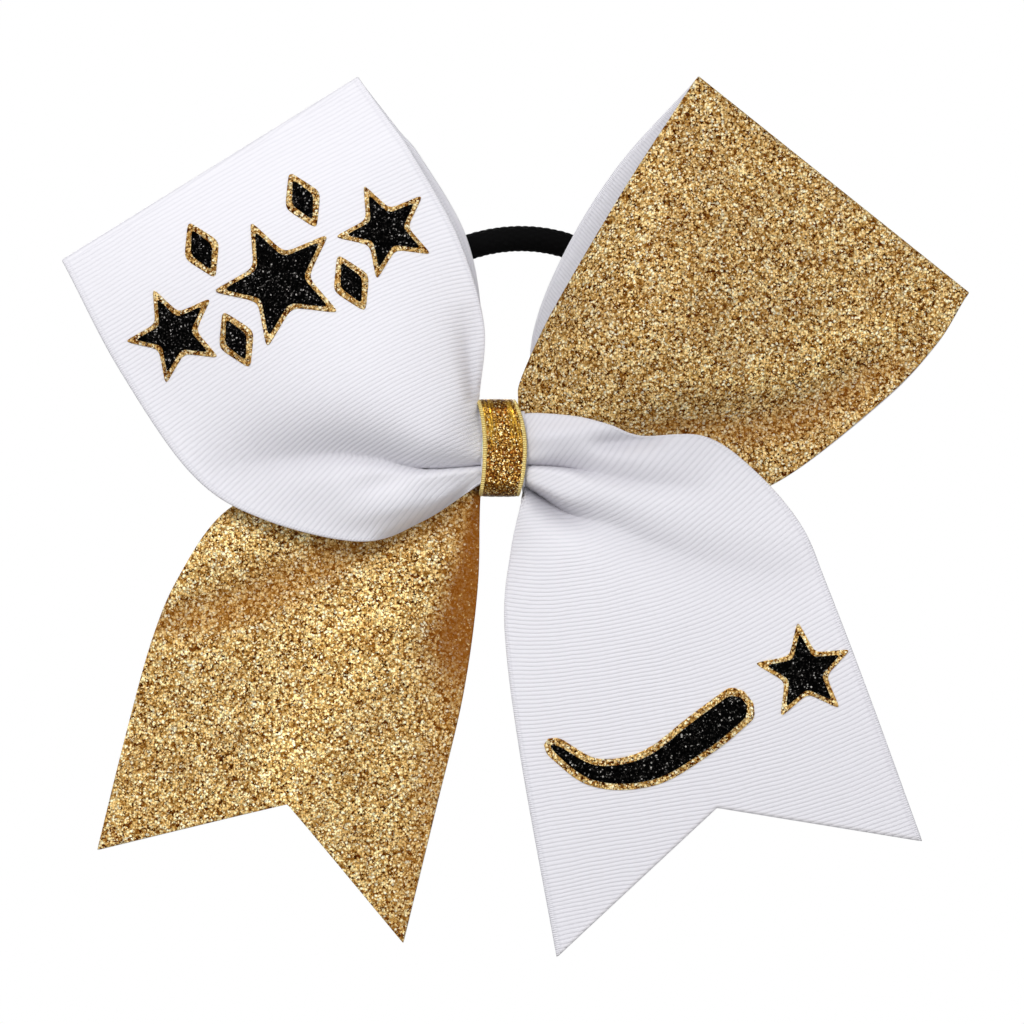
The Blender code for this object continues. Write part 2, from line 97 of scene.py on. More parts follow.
def make_camera():
    data = bpy.data.cameras.new("camera")
    data.lens = 200.0
    data.sensor_width = 36.0
    distance = 0.2099 * data.lens / data.sensor_width
    camera = bpy.data.objects.new("camera", data)
    camera.location = (0.00185, -0.014 - distance, -0.0129)
    camera.rotation_euler = (pi / 2, 0.0, 0.0)
    data.clip_start = 0.05
    data.clip_end = 10.0
    bpy.context.scene.collection.objects.link(camera)
    bpy.context.scene.camera = camera


def soft_light(name, place, size, power):
    """A round light that aims at the bow."""
    data = bpy.data.lights.new(name, "AREA")
    data.shape = "DISK"
    data.size = size
    data.energy = power
    lamp = bpy.data.objects.new(name, data)
    lamp.location = place
    lamp.rotation_euler = (-Vector(place)).to_track_quat("-Z", "Y").to_euler()
    bpy.context.scene.collection.objects.link(lamp)


def make_studio():
    soft_light("key_light", (-0.36, -1.16, 0.76), 0.6, 10.8)
    soft_light("fill_light", (0.7, -1.25, -0.05), 0.8, 3.9)
    soft_light("rear_light", (-0.35, 1.25, 0.55), 0.8, 6.5)

    world = bpy.data.worlds.new("studio")
    bpy.context.scene.world = world
    world.use_nodes = True
    world.node_tree.nodes.clear()
    nodes = Nodes(world.node_tree)
    # The room is brightest in front of the bow and above it. The camera sees it plain white.
    where = nodes.node("ShaderNodeTexCoord").outputs["Generated"]
    facing = nodes.vector("DOT_PRODUCT", where, (-0.1, -0.9, 0.4))
    amount = nodes.node("ShaderNodeMapRange", Value=facing, From_Min=-0.9, From_Max=0.9)
    room = nodes.ramp(amount.outputs["Result"], ((0.0, (0.50, 0.50, 0.52)), (1.0, (1.0, 1.0, 1.0))))
    lit = nodes.node("ShaderNodeBackground", Color=room, Strength=0.555)
    seen = nodes.node("ShaderNodeBackground", Color=(1.0, 1.0, 1.0))
    path = nodes.node("ShaderNodeLightPath")
    mixed = nodes.mix_shaders(path.outputs["Is Camera Ray"], lit.outputs[0], seen.outputs[0])
    nodes.node("ShaderNodeOutputWorld", Surface=mixed)

    scene = bpy.context.scene
    scene.view_settings.view_transform = "Standard"
    scene.view_settings.look = "None"


def make_floor():
    """A round pale floor under the bow, which fades into the white of the studio."""
    mesh = bpy.data.meshes.new("floor")
    made = bmesh.new()
    bmesh.ops.create_circle(made, cap_ends=True, segments=96, radius=0.9)
    made.to_mesh(mesh)
    made.free()
    floor = bpy.data.objects.new("floor", mesh)
    floor.location = (0.0, 0.0, cad_box[0].z - 0.06)
    bpy.context.scene.collection.objects.link(floor)
    floor.visible_diffuse = False
    floor.visible_glossy = False

    shader = Shader("studio_floor", 0.6)
    at = shader.node("ShaderNodeTexCoord").outputs["Object"]
    reach = shader.vector("LENGTH", at)
    grain = shader.noise(at, 60.0, 3.0)
    colour = shader.mix(grain, (0.86, 0.86, 0.86), (0.90, 0.90, 0.90))
    shader.link(colour, "Base Color")
    glow = shader.node("ShaderNodeEmission", Color=(1.0, 1.0, 1.0))
    fade = shader.between(reach, 0.19, 0.25)
    both = shader.mix_shaders(fade, shader.bsdf.outputs["BSDF"], glow.outputs["Emission"])
    shader.put(both, shader.tree.nodes["Material Output"].inputs["Surface"])
    mesh.materials.append(shader.material)


# ---------------------------------------------------------------- materials

class Nodes:
    """Short ways to add nodes to a node tree."""

    def __init__(self, tree):
        self.tree = tree

    def node(self, kind, **values):
        """A new node, with values or other nodes' outputs put on the sockets that are named."""
        made = self.tree.nodes.new(kind)
        for socket, value in values.items():
            self.put(value, made.inputs[socket.replace("_", " ")])
        return made

    def put(self, value, socket):
        if isinstance(value, bpy.types.NodeSocket):
            self.tree.links.new(value, socket)
        elif socket.type == "RGBA":
            socket.default_value = (*value, 1.0)
        else:
            socket.default_value = value

    def math(self, operation, *values):
        made = self.node("ShaderNodeMath")
        made.operation = operation
        for value, socket in zip(values, made.inputs):
            self.put(value, socket)
        return made.outputs["Value"]

    def times(self, a, b):
        return self.math("MULTIPLY", a, b)

    def times_plus(self, a, b, c):
        return self.math("MULTIPLY_ADD", a, b, c)

    def wave(self, value):
        """The size of a sine wave, with no sign."""
        return self.math("ABSOLUTE", self.math("SINE", value))

    def vector(self, operation, a, b=(0.0, 0.0, 0.0), scale=1.0):
        made = self.node("ShaderNodeVectorMath")
        made.operation = operation
        self.put(a, made.inputs[0])
        self.put(b, made.inputs[1])
        if operation == "SCALE":
            self.put(scale, made.inputs["Scale"])
        return made.outputs["Value" if operation in ("LENGTH", "DOT_PRODUCT") else "Vector"]

    def between(self, value, low, high):
        """0 where value is low, 1 where it is high, and a smooth step between."""
        made = self.node("ShaderNodeMapRange", From_Min=low, From_Max=high, Value=value)
        made.interpolation_type = "SMOOTHSTEP"
        return made.outputs["Result"]

    def mix(self, factor, a, b, blend="MIX"):
        made = self.node("ShaderNodeMix")
        made.data_type = "RGBA"
        made.blend_type = blend
        self.put(factor, made.inputs[0])
        self.put(a, made.inputs[6])
        self.put(b, made.inputs[7])
        return made.outputs[2]

    def mix_shaders(self, factor, a, b):
        made = self.node("ShaderNodeMixShader", Fac=factor)
        self.put(a, made.inputs[1])
        self.put(b, made.inputs[2])
        return made.outputs["Shader"]

    def ramp(self, value, stops):
        made = self.node("ShaderNodeValToRGB", Fac=value)
        line = made.color_ramp.elements
        while len(line) < len(stops):
            line.new(0.5)
        for element, (place, colour) in zip(line, stops):
            element.position = place
            element.color = (*colour, 1.0)
        return made.outputs["Color"]

    def noise(self, at, scale, detail=2.0, roughness=0.5):
        made = self.node("ShaderNodeTexNoise", Vector=at, Scale=scale, Detail=detail, Roughness=roughness)
        return made.outputs["Fac"]

    def cells(self, at, scale):
        """A field of flakes: its colours, their distances, and the colours' three parts."""
        made = self.node("ShaderNodeTexVoronoi", Vector=at, Scale=scale)
        return made.outputs, self.node("ShaderNodeSeparateColor", Color=made.outputs["Color"]).outputs

    def attribute(self, name, output="Vector"):
        made = self.node("ShaderNodeAttribute")
        made.attribute_name = name
        return made.outputs[output]

    def parts(self, vector):
        return self.node("ShaderNodeSeparateXYZ", Vector=vector).outputs

    def strip(self):
        """Millimetres across the strip and along it."""
        made = self.node("ShaderNodeUVMap")
        made.uv_map = "strip"
        parts = self.parts(made.outputs["UV"])
        return parts["X"], parts["Y"]

    def bump(self, height, depth, strength=1.0, **normal):
        made = self.node("ShaderNodeBump", Distance=depth, Strength=strength, Height=height, **normal)
        return made.outputs["Normal"]

    def tilted(self, colour, amount):
        """The surface's normal, tipped a different way for each cell colour."""
        tip = self.vector("SUBTRACT", colour, (0.5, 0.5, 0.5))
        tip = self.vector("SCALE", tip, scale=amount)
        normal = self.node("ShaderNodeNewGeometry").outputs["Normal"]
        return self.vector("NORMALIZE", self.vector("ADD", normal, tip))


class Shader(Nodes):
    """A Principled material and the nodes that drive it."""

    def __init__(self, name, roughness, metallic=0.0, **more):
        self.material = bpy.data.materials.new(name)
        self.material.use_nodes = True
        super().__init__(self.material.node_tree)
        self.bsdf = self.tree.nodes["Principled BSDF"]
        self.bsdf.inputs["Roughness"].default_value = roughness
        self.bsdf.inputs["Metallic"].default_value = metallic
        for socket, value in more.items():
            self.bsdf.inputs[socket.replace("_", " ")].default_value = value

    def link(self, value, socket):
        self.tree.links.new(value, self.bsdf.inputs[socket])


def linear(*rgb):
    """sRGB from 0 to 255 as linear colour."""
    return tuple((c / 255 / 12.92 if c < 11 else ((c / 255 + 0.055) / 1.055) ** 2.4) for c in rgb)


def grosgrain(name):
    """White ribbed ribbon: rounded ribs across the strip, fine warp threads, woven edges."""
    shader = Shader(name, 0.62, Sheen_Weight=0.25, Sheen_Roughness=0.45)
    u, v = shader.strip()
    rest = shader.attribute("rest")

    wander = shader.noise(rest, 0.11, 3.0)
    ribs = shader.math("ADD", shader.math("DIVIDE", v, 0.86), shader.times(wander, 0.7))
    rib = shader.wave(shader.times(ribs, pi))
    rib = shader.math("POWER", rib, 0.7)
    turn = shader.times(shader.math("FLOOR", ribs), 0.5)
    threads = shader.times(shader.math("ADD", shader.math("DIVIDE", u, 0.21), turn), 2 * pi)
    thread = shader.times_plus(shader.math("COSINE", threads), 0.5, 0.5)
    fibre = shader.noise(rest, 5.5, 4.0, 0.7)

    # The outer millimetre of each long edge is woven tighter.
    from_edge = shader.math("MINIMUM", u, shader.math("SUBTRACT", RIBBON_WIDTH, u))
    inside = shader.between(from_edge, 0.35, 1.15)
    loops = shader.wave(shader.times(ribs, 2 * pi))
    rib = shader.math("ADD", shader.times(rib, inside),
                      shader.times(loops, shader.math("SUBTRACT", 1.0, inside)))

    spread = shader.between(v, 6.0, 24.0)
    thread = shader.times(thread, spread)
    height = shader.times_plus(thread, 0.16, rib)
    height = shader.times_plus(fibre, 0.20, height)
    height = shader.times(height, shader.times_plus(spread, 0.5, 0.5))
    shader.link(shader.bump(height, 0.00013, 0.70), "Normal")

    cloud = shader.noise(rest, 0.045, 2.0)
    # Painted shade in the grooves between the ribs: grooves darker, rib tops lighter.
    colour = shader.mix(rib, (0.700, 0.690, 0.745), (0.835, 0.822, 0.872))
    colour = shader.mix(cloud, colour, shader.mix(0.5, colour, (0.80, 0.79, 0.84)))
    colour = shader.mix(shader.times(fibre, 0.10), colour, (0.93, 0.93, 0.96))
    seam = shader.times(shader.between(from_edge, 1.5, 1.0), shader.between(from_edge, 0.5, 1.0))
    colour = shader.mix(shader.times(seam, 0.18), colour, (0.55, 0.54, 0.60))
    # Painted shade from the mesh's shade attribute: darker in folds and creases, along the thin crease
    # lines, on the rolled edge and towards the right tail's upper edge.
    shade = shader.times(shader.attribute("shade", "Fac"), 0.62)
    colour = shader.mix(shade, colour, shader.mix(1.0, colour, (0.30, 0.29, 0.32), "MULTIPLY"))
    melted = shader.between(shader.attribute("cut", "Fac"), 0.9, 0.25)
    colour = shader.mix(shader.times(melted, 0.55), colour, (0.72, 0.70, 0.72))
    shader.link(colour, "Base Color")
    rough = shader.times_plus(fibre, 0.25, 0.52)
    rough = shader.math("SUBTRACT", rough, shader.times(melted, 0.25))
    shader.link(rough, "Roughness")
    return shader.material


GOLD_FLAKES = (
    (0.00, linear(40, 12, 0)),
    (0.10, linear(94, 44, 10)),
    (0.28, linear(150, 101, 37)),
    (0.50, linear(204, 161, 91)),
    (0.72, linear(242, 206, 138)),
    (0.88, linear(255, 234, 174)),
    (1.00, linear(255, 247, 214)),
)


def glitter(name, stops, flake, tilt, metallic, roughness, specular, glints=0.90):
    """Glitter film: flakes of random colour that face random ways, held in a clear layer."""
    shader = Shader(name, roughness, metallic, Specular_IOR_Level=specular)
    shader.bsdf.inputs["Specular Tint"].default_value = (*stops[2][1], 1.0)
    rest = shader.attribute("rest")
    jitter = shader.noise(rest, 1.7, 2.0)
    at = shader.vector("ADD", rest, shader.vector("SCALE", jitter, scale=0.3))
    near, pick = shader.cells(at, 1.0 / flake)
    _, small = shader.cells(at, 1.9 / flake)
    big, pick_big = shader.cells(at, 0.62 / flake)

    colour = shader.ramp(pick["Red"], stops)
    fine = shader.ramp(small["Green"], stops)
    colour = shader.mix(shader.between(small["Red"], 0.70, 0.74), colour, fine)
    # Painted glints: a few large cells take the palest colour.
    glint = shader.times(shader.between(pick_big["Blue"], glints, glints + 0.02),
                        shader.between(big["Distance"], 0.42, 0.34))
    colour = shader.mix(glint, colour, stops[-1][1])
    gap = shader.between(near["Distance"], 0.42, 0.62)
    colour = shader.mix(shader.times(gap, 0.45), colour, stops[0][1])
    patchy = shader.noise(rest, 0.16, 2.0)
    colour = shader.mix(shader.between(patchy, 0.35, 0.75), colour,
                        shader.mix(0.22, colour, stops[1][1]))
    # Painted shade: near the knot, close to the inner edge of the left tail, the film is darkened to
    # brown, with only a few flakes left bright.
    u, v = shader.strip()
    place = shader.parts(rest)
    painted_edge_shade = shader.times(shader.between(u, 56.0, 68.0), shader.between(v, 58.0, 36.0))
    painted_edge_shade = shader.times(painted_edge_shade, shader.between(place["X"], -2.0, -5.0))
    few = shader.between(small["Blue"], 0.93, 0.96)
    painted_edge_shade = shader.times(painted_edge_shade, shader.times_plus(few, -0.8, 0.95))
    colour = shader.mix(painted_edge_shade, colour, shader.mix(0.10, linear(116, 62, 14), colour))
    # Painted shade browns the valleys and painted light pales the ridges; painted light also makes the
    # film paler from 8 to 24 mm below the knot, which takes in most of the tail.
    painted_shading = shader.attribute("shade", "Fac")
    painted_valley_shade = shader.times(shader.between(painted_shading, 0.0, 1.0), 0.72)
    colour = shader.mix(painted_valley_shade, colour, shader.mix(0.40, linear(134, 78, 20), colour))
    painted_light = shader.times(shader.between(place["Z"], -8.0, -24.0), 0.5)
    painted_light = shader.times_plus(shader.between(painted_shading, 0.0, -1.0), 0.75, painted_light)
    colour = shader.mix(painted_light, colour, shader.mix(1.0, colour, (1.40, 1.43, 1.38), "MULTIPLY"))
    shader.link(colour, "Base Color")
    shader.link(shader.tilted(near["Color"], tilt), "Normal")
    rough = shader.times_plus(pick["Green"], 0.25, roughness - 0.10)
    shader.link(rough, "Roughness")
    return shader.material


# ---------------------------------------------------------------- curves, grids and folds

def lengths_along(line):
    """How far along a line each of its points is."""
    return np.concatenate([[0.0], np.cumsum(np.linalg.norm(np.diff(line, axis=0), axis=1))])


def smooth_curve(points, count):
    """count points, evenly spaced along a Catmull-Rom curve through points of any dimension."""
    points = np.asarray(points, float)
    ends = np.vstack([2 * points[0] - points[1], points, 2 * points[-1] - points[-2]])
    fine = [points[:1]]
    steps = np.linspace(0.0, 1.0, 33)[1:, None]
    for a, b, c, d in zip(ends, ends[1:], ends[2:], ends[3:]):
        curve = 2 * b + (c - a) * steps
        curve = curve + (2 * a - 5 * b + 4 * c - d) * steps**2
        curve = curve + (3 * b - a - 3 * c + d) * steps**3
        fine.append(curve / 2)
    fine = np.vstack(fine)
    lengths = lengths_along(fine)
    wanted = np.linspace(0.0, lengths[-1], count)
    return np.column_stack([np.interp(wanted, lengths, axis) for axis in fine.T])


def layer(low_edge, high_edge, rows, bulge, skew=1.0, flat=1.0):
    """A ribbon layer between two edge curves. bulge(along) is how far its middle stands forward."""
    low = smooth_curve(low_edge, rows + 1)
    high = smooth_curve(high_edge, rows + 1)
    across = np.linspace(0.0, 1.0, COLUMNS + 1)[None, :, None]
    grid = low[:, None, :] * (1 - across) + high[:, None, :] * across
    along = np.linspace(0.0, 1.0, rows + 1)[:, None]
    grid[:, :, 1] -= bulge(along) * np.sin(pi * across[:, :, 0] ** skew) ** flat
    return grid


def nearest_on(route, flat):
    """For each flat point: the route's nearest point, how far off it is, and 1 above it or -1 below."""
    offset = flat[:, None, :] - route[None, :, :]
    gap = np.linalg.norm(offset, axis=2)
    nearest = gap.argmin(axis=1)
    offset = offset[np.arange(len(flat)), nearest]
    heading = np.gradient(route, axis=0)[nearest]
    above = (heading[:, 0] * offset[:, 1] - heading[:, 1] * offset[:, 0]) * np.sign(heading[:, 0])
    return nearest, gap.min(axis=1), np.sign(above)


def fold(grid, route, sharp=2.0):
    """Presses a fold back into a layer, along a route of (x, z, depth, width above, width below)."""
    route = smooth_curve(route, 140)
    nearest, gap, above = nearest_on(route[:, :2], grid[:, :, (0, 2)].reshape(-1, 2))
    width = np.where(above > 0, route[nearest, 3], route[nearest, 4])
    push = route[nearest, 2] * np.exp(-((gap / np.maximum(width, 0.1)) ** sharp))
    return push.reshape(grid.shape[:2])


def turned_end(front_end, back_end, outward):
    """The rows that turn the ribbon round from the front layer's end to the back layer's end."""
    centre = (front_end + back_end) / 2
    half = (front_end - back_end) / 2
    reach = np.linalg.norm(half, axis=1, keepdims=True) * outward
    return np.array([centre + half * cos(t) + reach * sin(t) for t in np.linspace(0, pi, 9)[1:-1]])


def closed_loop(front, back_low, back_high, outward, length, shade):
    """A loop's whole grid from its front layer, one layer's length, and the front's shade padded out."""
    back = layer(back_low, back_high, BACK_ROWS - 1, lambda v: -0.6 * np.sin(pi * v))
    grid = np.vstack([front, turned_end(front[-1], back[-1], np.array(outward)), back[::-1]])
    return grid, length, np.pad(shade, ((0, len(grid) - len(front)), (0, 0)))


def notch(grid, apex):
    """Cuts a V in a tail's end, with straight arms from its tips to the apex, an x and z.

    Returns the grid, each point's share of the way along, and how far that is from the cut.
    """
    rows = np.arange(grid.shape[0])
    arms = []
    for tip in (grid[-1, 0], grid[-1, -1]):
        arm = np.array(apex) - tip[[0, 2]]
        arms.append((tip[[0, 2]], np.array((-arm[1], arm[0]))))
    cut = grid.copy()
    kept = np.empty(grid.shape[:2])
    for column in range(COLUMNS + 1):
        flat = grid[:, column][:, (0, 2)]
        end = 0.0
        for tip, square in arms:
            side = (flat - tip) @ square
            side *= np.sign(side[-1] - side[0])
            end = max(end, np.interp(0.0, side, rows))
        wanted = np.linspace(0.0, end, len(rows))
        kept[:, column] = wanted / rows[-1]
        for axis in range(3):
            cut[:, column, axis] = np.interp(wanted, rows, grid[:, column, axis])
    return cut, kept, kept[-1] - kept


def regrid(values, kept):
    """Values on a whole tail's grid, taken at the rows that its cut grid kept."""
    rows = np.linspace(0.0, 1.0, len(values))
    return np.column_stack([np.interp(kept[:, c], rows, values[:, c]) for c in range(COLUMNS + 1)])


def normals_of(grid):
    across = np.gradient(grid, axis=1)
    along = np.gradient(grid, axis=0)
    normal = np.cross(across, along)
    return normal / np.maximum(np.linalg.norm(normal, axis=2, keepdims=True), 1e-9)


def grid_faces(rows, columns):
    """A grid's point indices, and its faces."""
    index = np.arange(rows * columns).reshape(rows, columns)
    quads = np.stack([index[:-1, :-1], index[:-1, 1:], index[1:, 1:], index[1:, :-1]], axis=-1)
    return index, quads.reshape(-1, 4)


def rim_indices(rows, columns):
    top = [(0, c) for c in range(columns)]
    right = [(r, columns - 1) for r in range(1, rows)]
    bottom = [(rows - 1, c) for c in range(columns - 2, -1, -1)]
    left = [(r, 0) for r in range(rows - 2, 0, -1)]
    return np.array(top + right + bottom + left)


def add_mesh(name, points, faces, material, strip=None, more=None):
    """A smooth closed mesh from points in millimetres, with its strip coordinates and rest places."""
    mesh = bpy.data.meshes.new(name)
    mesh.from_pydata((np.asarray(points) * MM).tolist(), [], faces)
    made = bmesh.new()
    made.from_mesh(mesh)
    bmesh.ops.recalc_face_normals(made, faces=made.faces)
    made.to_mesh(mesh)
    made.free()
    rest = mesh.attributes.new("rest", "FLOAT_VECTOR", "POINT")
    rest.data.foreach_set("vector", np.asarray(points, np.float32).ravel())
    if strip is not None:
        corners = np.empty(len(mesh.loops), np.int32)
        mesh.loops.foreach_get("vertex_index", corners)
        layer_uv = mesh.uv_layers.new(name="strip")
        layer_uv.data.foreach_set("uv", np.asarray(strip, np.float32)[corners].ravel())
    for label, values in (more or {}).items():
        added = mesh.attributes.new(label, "FLOAT", "POINT")
        added.data.foreach_set("value", np.asarray(values, np.float32))
    mesh.shade_smooth()
    mesh.materials.append(material)
    obj = bpy.data.objects.new(name, mesh)
    bpy.context.scene.collection.objects.link(obj)
    return obj


def thin_solid(name, grid, side, low, high, material, strip, cut=None, shade=None):
    """A closed sheet whose two faces lie low and high millimetres off a grid, towards its outside."""
    rows, columns = grid.shape[:2]
    normal = normals_of(grid) * side
    top = grid + normal * high
    under = grid + normal * low
    rim = rim_indices(rows, columns)
    inner = np.clip(rim, 1, (rows - 2, columns - 2))
    edge_points = grid[rim[:, 0], rim[:, 1]]
    out = edge_points - grid[inner[:, 0], inner[:, 1]]
    out /= np.maximum(np.linalg.norm(out, axis=1, keepdims=True), 1e-9)
    middle = edge_points + normal[rim[:, 0], rim[:, 1]] * (low + high) / 2 + out * (high - low) * 0.35

    count = rows * columns
    index, quads = grid_faces(rows, columns)
    edge = index[rim[:, 0], rim[:, 1]]
    after = np.roll(edge, -1)
    ring = 2 * count + np.arange(len(rim))
    ring_after = np.roll(ring, -1)
    faces = np.vstack([
        quads,
        quads[:, ::-1] + count,
        np.column_stack([edge, ring, ring_after, after]),
        np.column_stack([ring, edge + count, after + count, ring_after]),
    ])
    points = np.vstack([top.reshape(-1, 3), under.reshape(-1, 3), middle])
    flat = strip.reshape(-1, 2)
    strips = np.vstack([flat, flat, flat[edge]])
    more = {}
    for label, values in (("cut", cut), ("shade", shade)):
        if values is not None:
            more[label] = np.concatenate([values.ravel(), values.ravel(), values.ravel()[edge]])
    return add_mesh(name, points, faces.tolist(), material, strips, more)


def strip_places(rows_mm):
    """Strip coordinates of a grid, from each point's place along in millimetres."""
    across = np.linspace(0.0, RIBBON_WIDTH, COLUMNS + 1)[None, :]
    return np.stack([np.broadcast_to(across, rows_mm.shape), rows_mm], axis=-1)


def side_of(flat, route):
    """-1 below a crease, 1 above it, and nearer 0 towards the crease's far end, where it runs out."""
    nearest, near, above = nearest_on(smooth_curve(route, 90), flat)
    runs_out = np.clip((88 - nearest) / 40.0, 0.0, 1.0)
    runs_out = runs_out**2 * (3 - 2 * runs_out) * np.exp(-((near / 9.0) ** 2))
    return np.tanh(above * near / 0.5) * runs_out


def rib_places(grid, guides, creases, pull=14.0):
    """Where each point lies along the strip, counted in ribs' directions rather than in rows.

    guides are rows of (x, z, angle of the ribs in degrees). A guide counts less on the other side of
    a crease. The places are the least-squares field whose level lines follow those directions, found
    by conjugate gradients on the grid.
    """
    flat = grid[:, :, (0, 2)].reshape(-1, 2)
    guides = np.array(guides)
    sides = [side_of(flat, crease) for crease in creases]
    guide_sides = [side_of(guides[:, :2], crease) for crease in creases]
    gap = ((flat[:, None, :] - guides[None, :, :2]) ** 2).sum(axis=2)
    for side, guide_side in zip(sides, guide_sides):
        gap += ((side[:, None] - guide_side[None, :]) * pull) ** 2
    weight = 1.0 / (gap + 4.0) ** 2
    angle = np.radians((weight * guides[:, 2]).sum(axis=1) / weight.sum(axis=1))
    down = np.column_stack([np.sin(angle), -np.cos(angle)]).reshape(*grid.shape[:2], 2)
    flat = flat.reshape(*grid.shape[:2], 2)
    parted = np.ones(grid.shape[:2])
    steps = []
    for axis in (0, 1):
        step = np.diff(flat, axis=axis)
        ahead, behind = np.split(down, [1], axis)[1], np.split(down, [-1], axis)[0]
        wanted = (step * (ahead + behind) / 2).sum(axis=2)
        firm = 1.0 / np.maximum((step**2).sum(axis=2), 1e-4)
        for side in sides:
            change = np.abs(np.diff(side.reshape(grid.shape[:2]), axis=axis))
            firm = firm * np.exp(-6.0 * change)
        steps.append((wanted, np.sqrt(np.minimum(firm, 400.0))))

    def spread(field):
        return [np.diff(field, axis=axis) * firm for axis, (_, firm) in enumerate(steps)]

    def gathered(parts):
        total = np.zeros_like(parted)
        for axis, (part, (_, firm)) in enumerate(zip(parts, steps)):
            value = part * firm
            edge = [(0, 0), (0, 0)]
            edge[axis] = (1, 1)
            total -= np.diff(np.pad(value, edge), axis=axis)
        return total

    field = np.zeros_like(parted)
    rest = gathered([wanted * firm for wanted, firm in steps])
    way = rest.copy()
    size = (rest**2).sum()
    for _ in range(900):
        pushed = gathered(spread(way))
        share = size / max((way * pushed).sum(), 1e-12)
        field += share * way
        rest -= share * pushed
        fresh = (rest**2).sum()
        way = rest + fresh / size * way
        size = fresh
    return field - field.min()


# ---------------------------------------------------------------- the four wings

def loop_left_grid():
    front_low = [
        (-INNER_X, FRONT - 0.6, -6.6), (-ROOT_X, FRONT - 0.8, -7.6), (-16.4, FRONT - 2.2, -14.6),
        (-29, FRONT - 3.6, -18.8), (-49.2, FRONT - 4, -14.1), (-63.5, FRONT - 2.4, -5),
        (-78.5, FRONT + 1.2, 16.4), (-89.8, CREASE_FRONT, 37.8)]
    front_high = [
        (-INNER_X, FRONT - 0.4, 7.2), (-5, FRONT - 0.5, 9.9), (-3.9, FRONT - 1.6, 25),
        (-9.2, FRONT - 2.6, 43), (-18.5, FRONT - 1, 60), (-23.3, FRONT + 0.6, 67),
        (-29.2, CREASE_FRONT, 75.3)]
    back_low = [
        (-INNER_X, BACK, -6.4), (-ROOT_X, BACK, -6.8), (-22, BACK + 1.6, -3.5),
        (-52, BACK + 1.8, 4), (-75, BACK - 0.4, 22), (-89.8, CREASE_BACK, 37.8)]
    back_high = [
        (-INNER_X, BACK, 6), (-ROOT_X, BACK, 7.6), (-4.4, BACK + 1, 25), (-7.6, BACK + 1.2, 43.5),
        (-17, BACK - 0.2, 60), (-21.6, BACK - 1, 65.6), (-29.2, CREASE_BACK, 75.3)]
    front = layer(front_low, front_high, FRONT_ROWS - 1, lambda v: 8.0 * np.sin(pi * v**0.8), flat=1.5)
    # The upper lobe comes down in a long slope to a thin dark line, then the lower lobe stands up.
    push = fold(front, [
        (-3, -3.4, 1.8, 0.8, 0.4), (-5.5, -3.5, 2.4, 1.4, 0.5), (-9, -3.8, 2.9, 2.4, 0.6),
        (-17, -4, 3.6, 4.2, 1.2), (-25, -2.2, 3.8, 5.4, 2.4), (-33.5, -1, 3.5, 6.5, 3.4),
        (-45.7, -1.6, 2.6, 7.5, 4.6), (-56, -3.4, 1.2, 8, 6), (-65, -5, 0, 8, 6)], 1.6)
    push += fold(front, [
        (-14, -5.6, 0, 1.2, 1.2), (-20, -6, 0.4, 1.4, 1.4), (-25, -6.8, 0.7, 1.7, 1.7),
        (-32, -8.2, 0, 2.2, 2.2)])
    line = fold(front, [
        (-3, -3.4, 1, 0.3, 0.3), (-5.5, -3.5, 1, 0.3, 0.3), (-9, -3.8, 1, 0.3, 0.3),
        (-17, -4, 0.8, 0.35, 0.35), (-25, -2.2, 0, 0.5, 0.5)])
    push += fold(front, [
        (-6.5, 10, 1, 1.2, 1.2), (-7, 16, 1.6, 1.8, 1.8), (-7.5, 22, 1.2, 2.4, 2.4),
        (-8.5, 30, 0, 3.2, 3.2)])
    # Painted shade: the deeper a fold, the darker, and the thin crease line darker still.
    shade = np.clip(push / FOLD_SHADE + 0.4 * line, 0.0, 1.0)
    push += line
    push -= fold(front, [
        (-8, -7.4, 0, 1.5, 1.2), (-13, -9.6, 1.2, 2.6, 2), (-20, -11.6, 1.9, 3.6, 2.4),
        (-28, -13, 1.2, 4.4, 3), (-38, -13, 0, 5, 4)])
    # The lower edge rolls back near the knot.
    from_low = front[:, :, (0, 2)] - front[:, :1, (0, 2)]
    from_low = np.linalg.norm(from_low, axis=2)
    where = np.exp(-(((front[:, :1, 0] + 16.0) / 9.0) ** 4))
    rolled = where * np.exp(-((from_low / 1.9) ** 2))
    push += 3.4 * rolled
    # The rolled edge gets painted shade too.
    shade = np.maximum(shade, 0.5 * rolled)
    front[:, :, 1] += push
    return closed_loop(front, back_low, back_high, (-0.53, 0.0, 0.85), 100.0, shade)


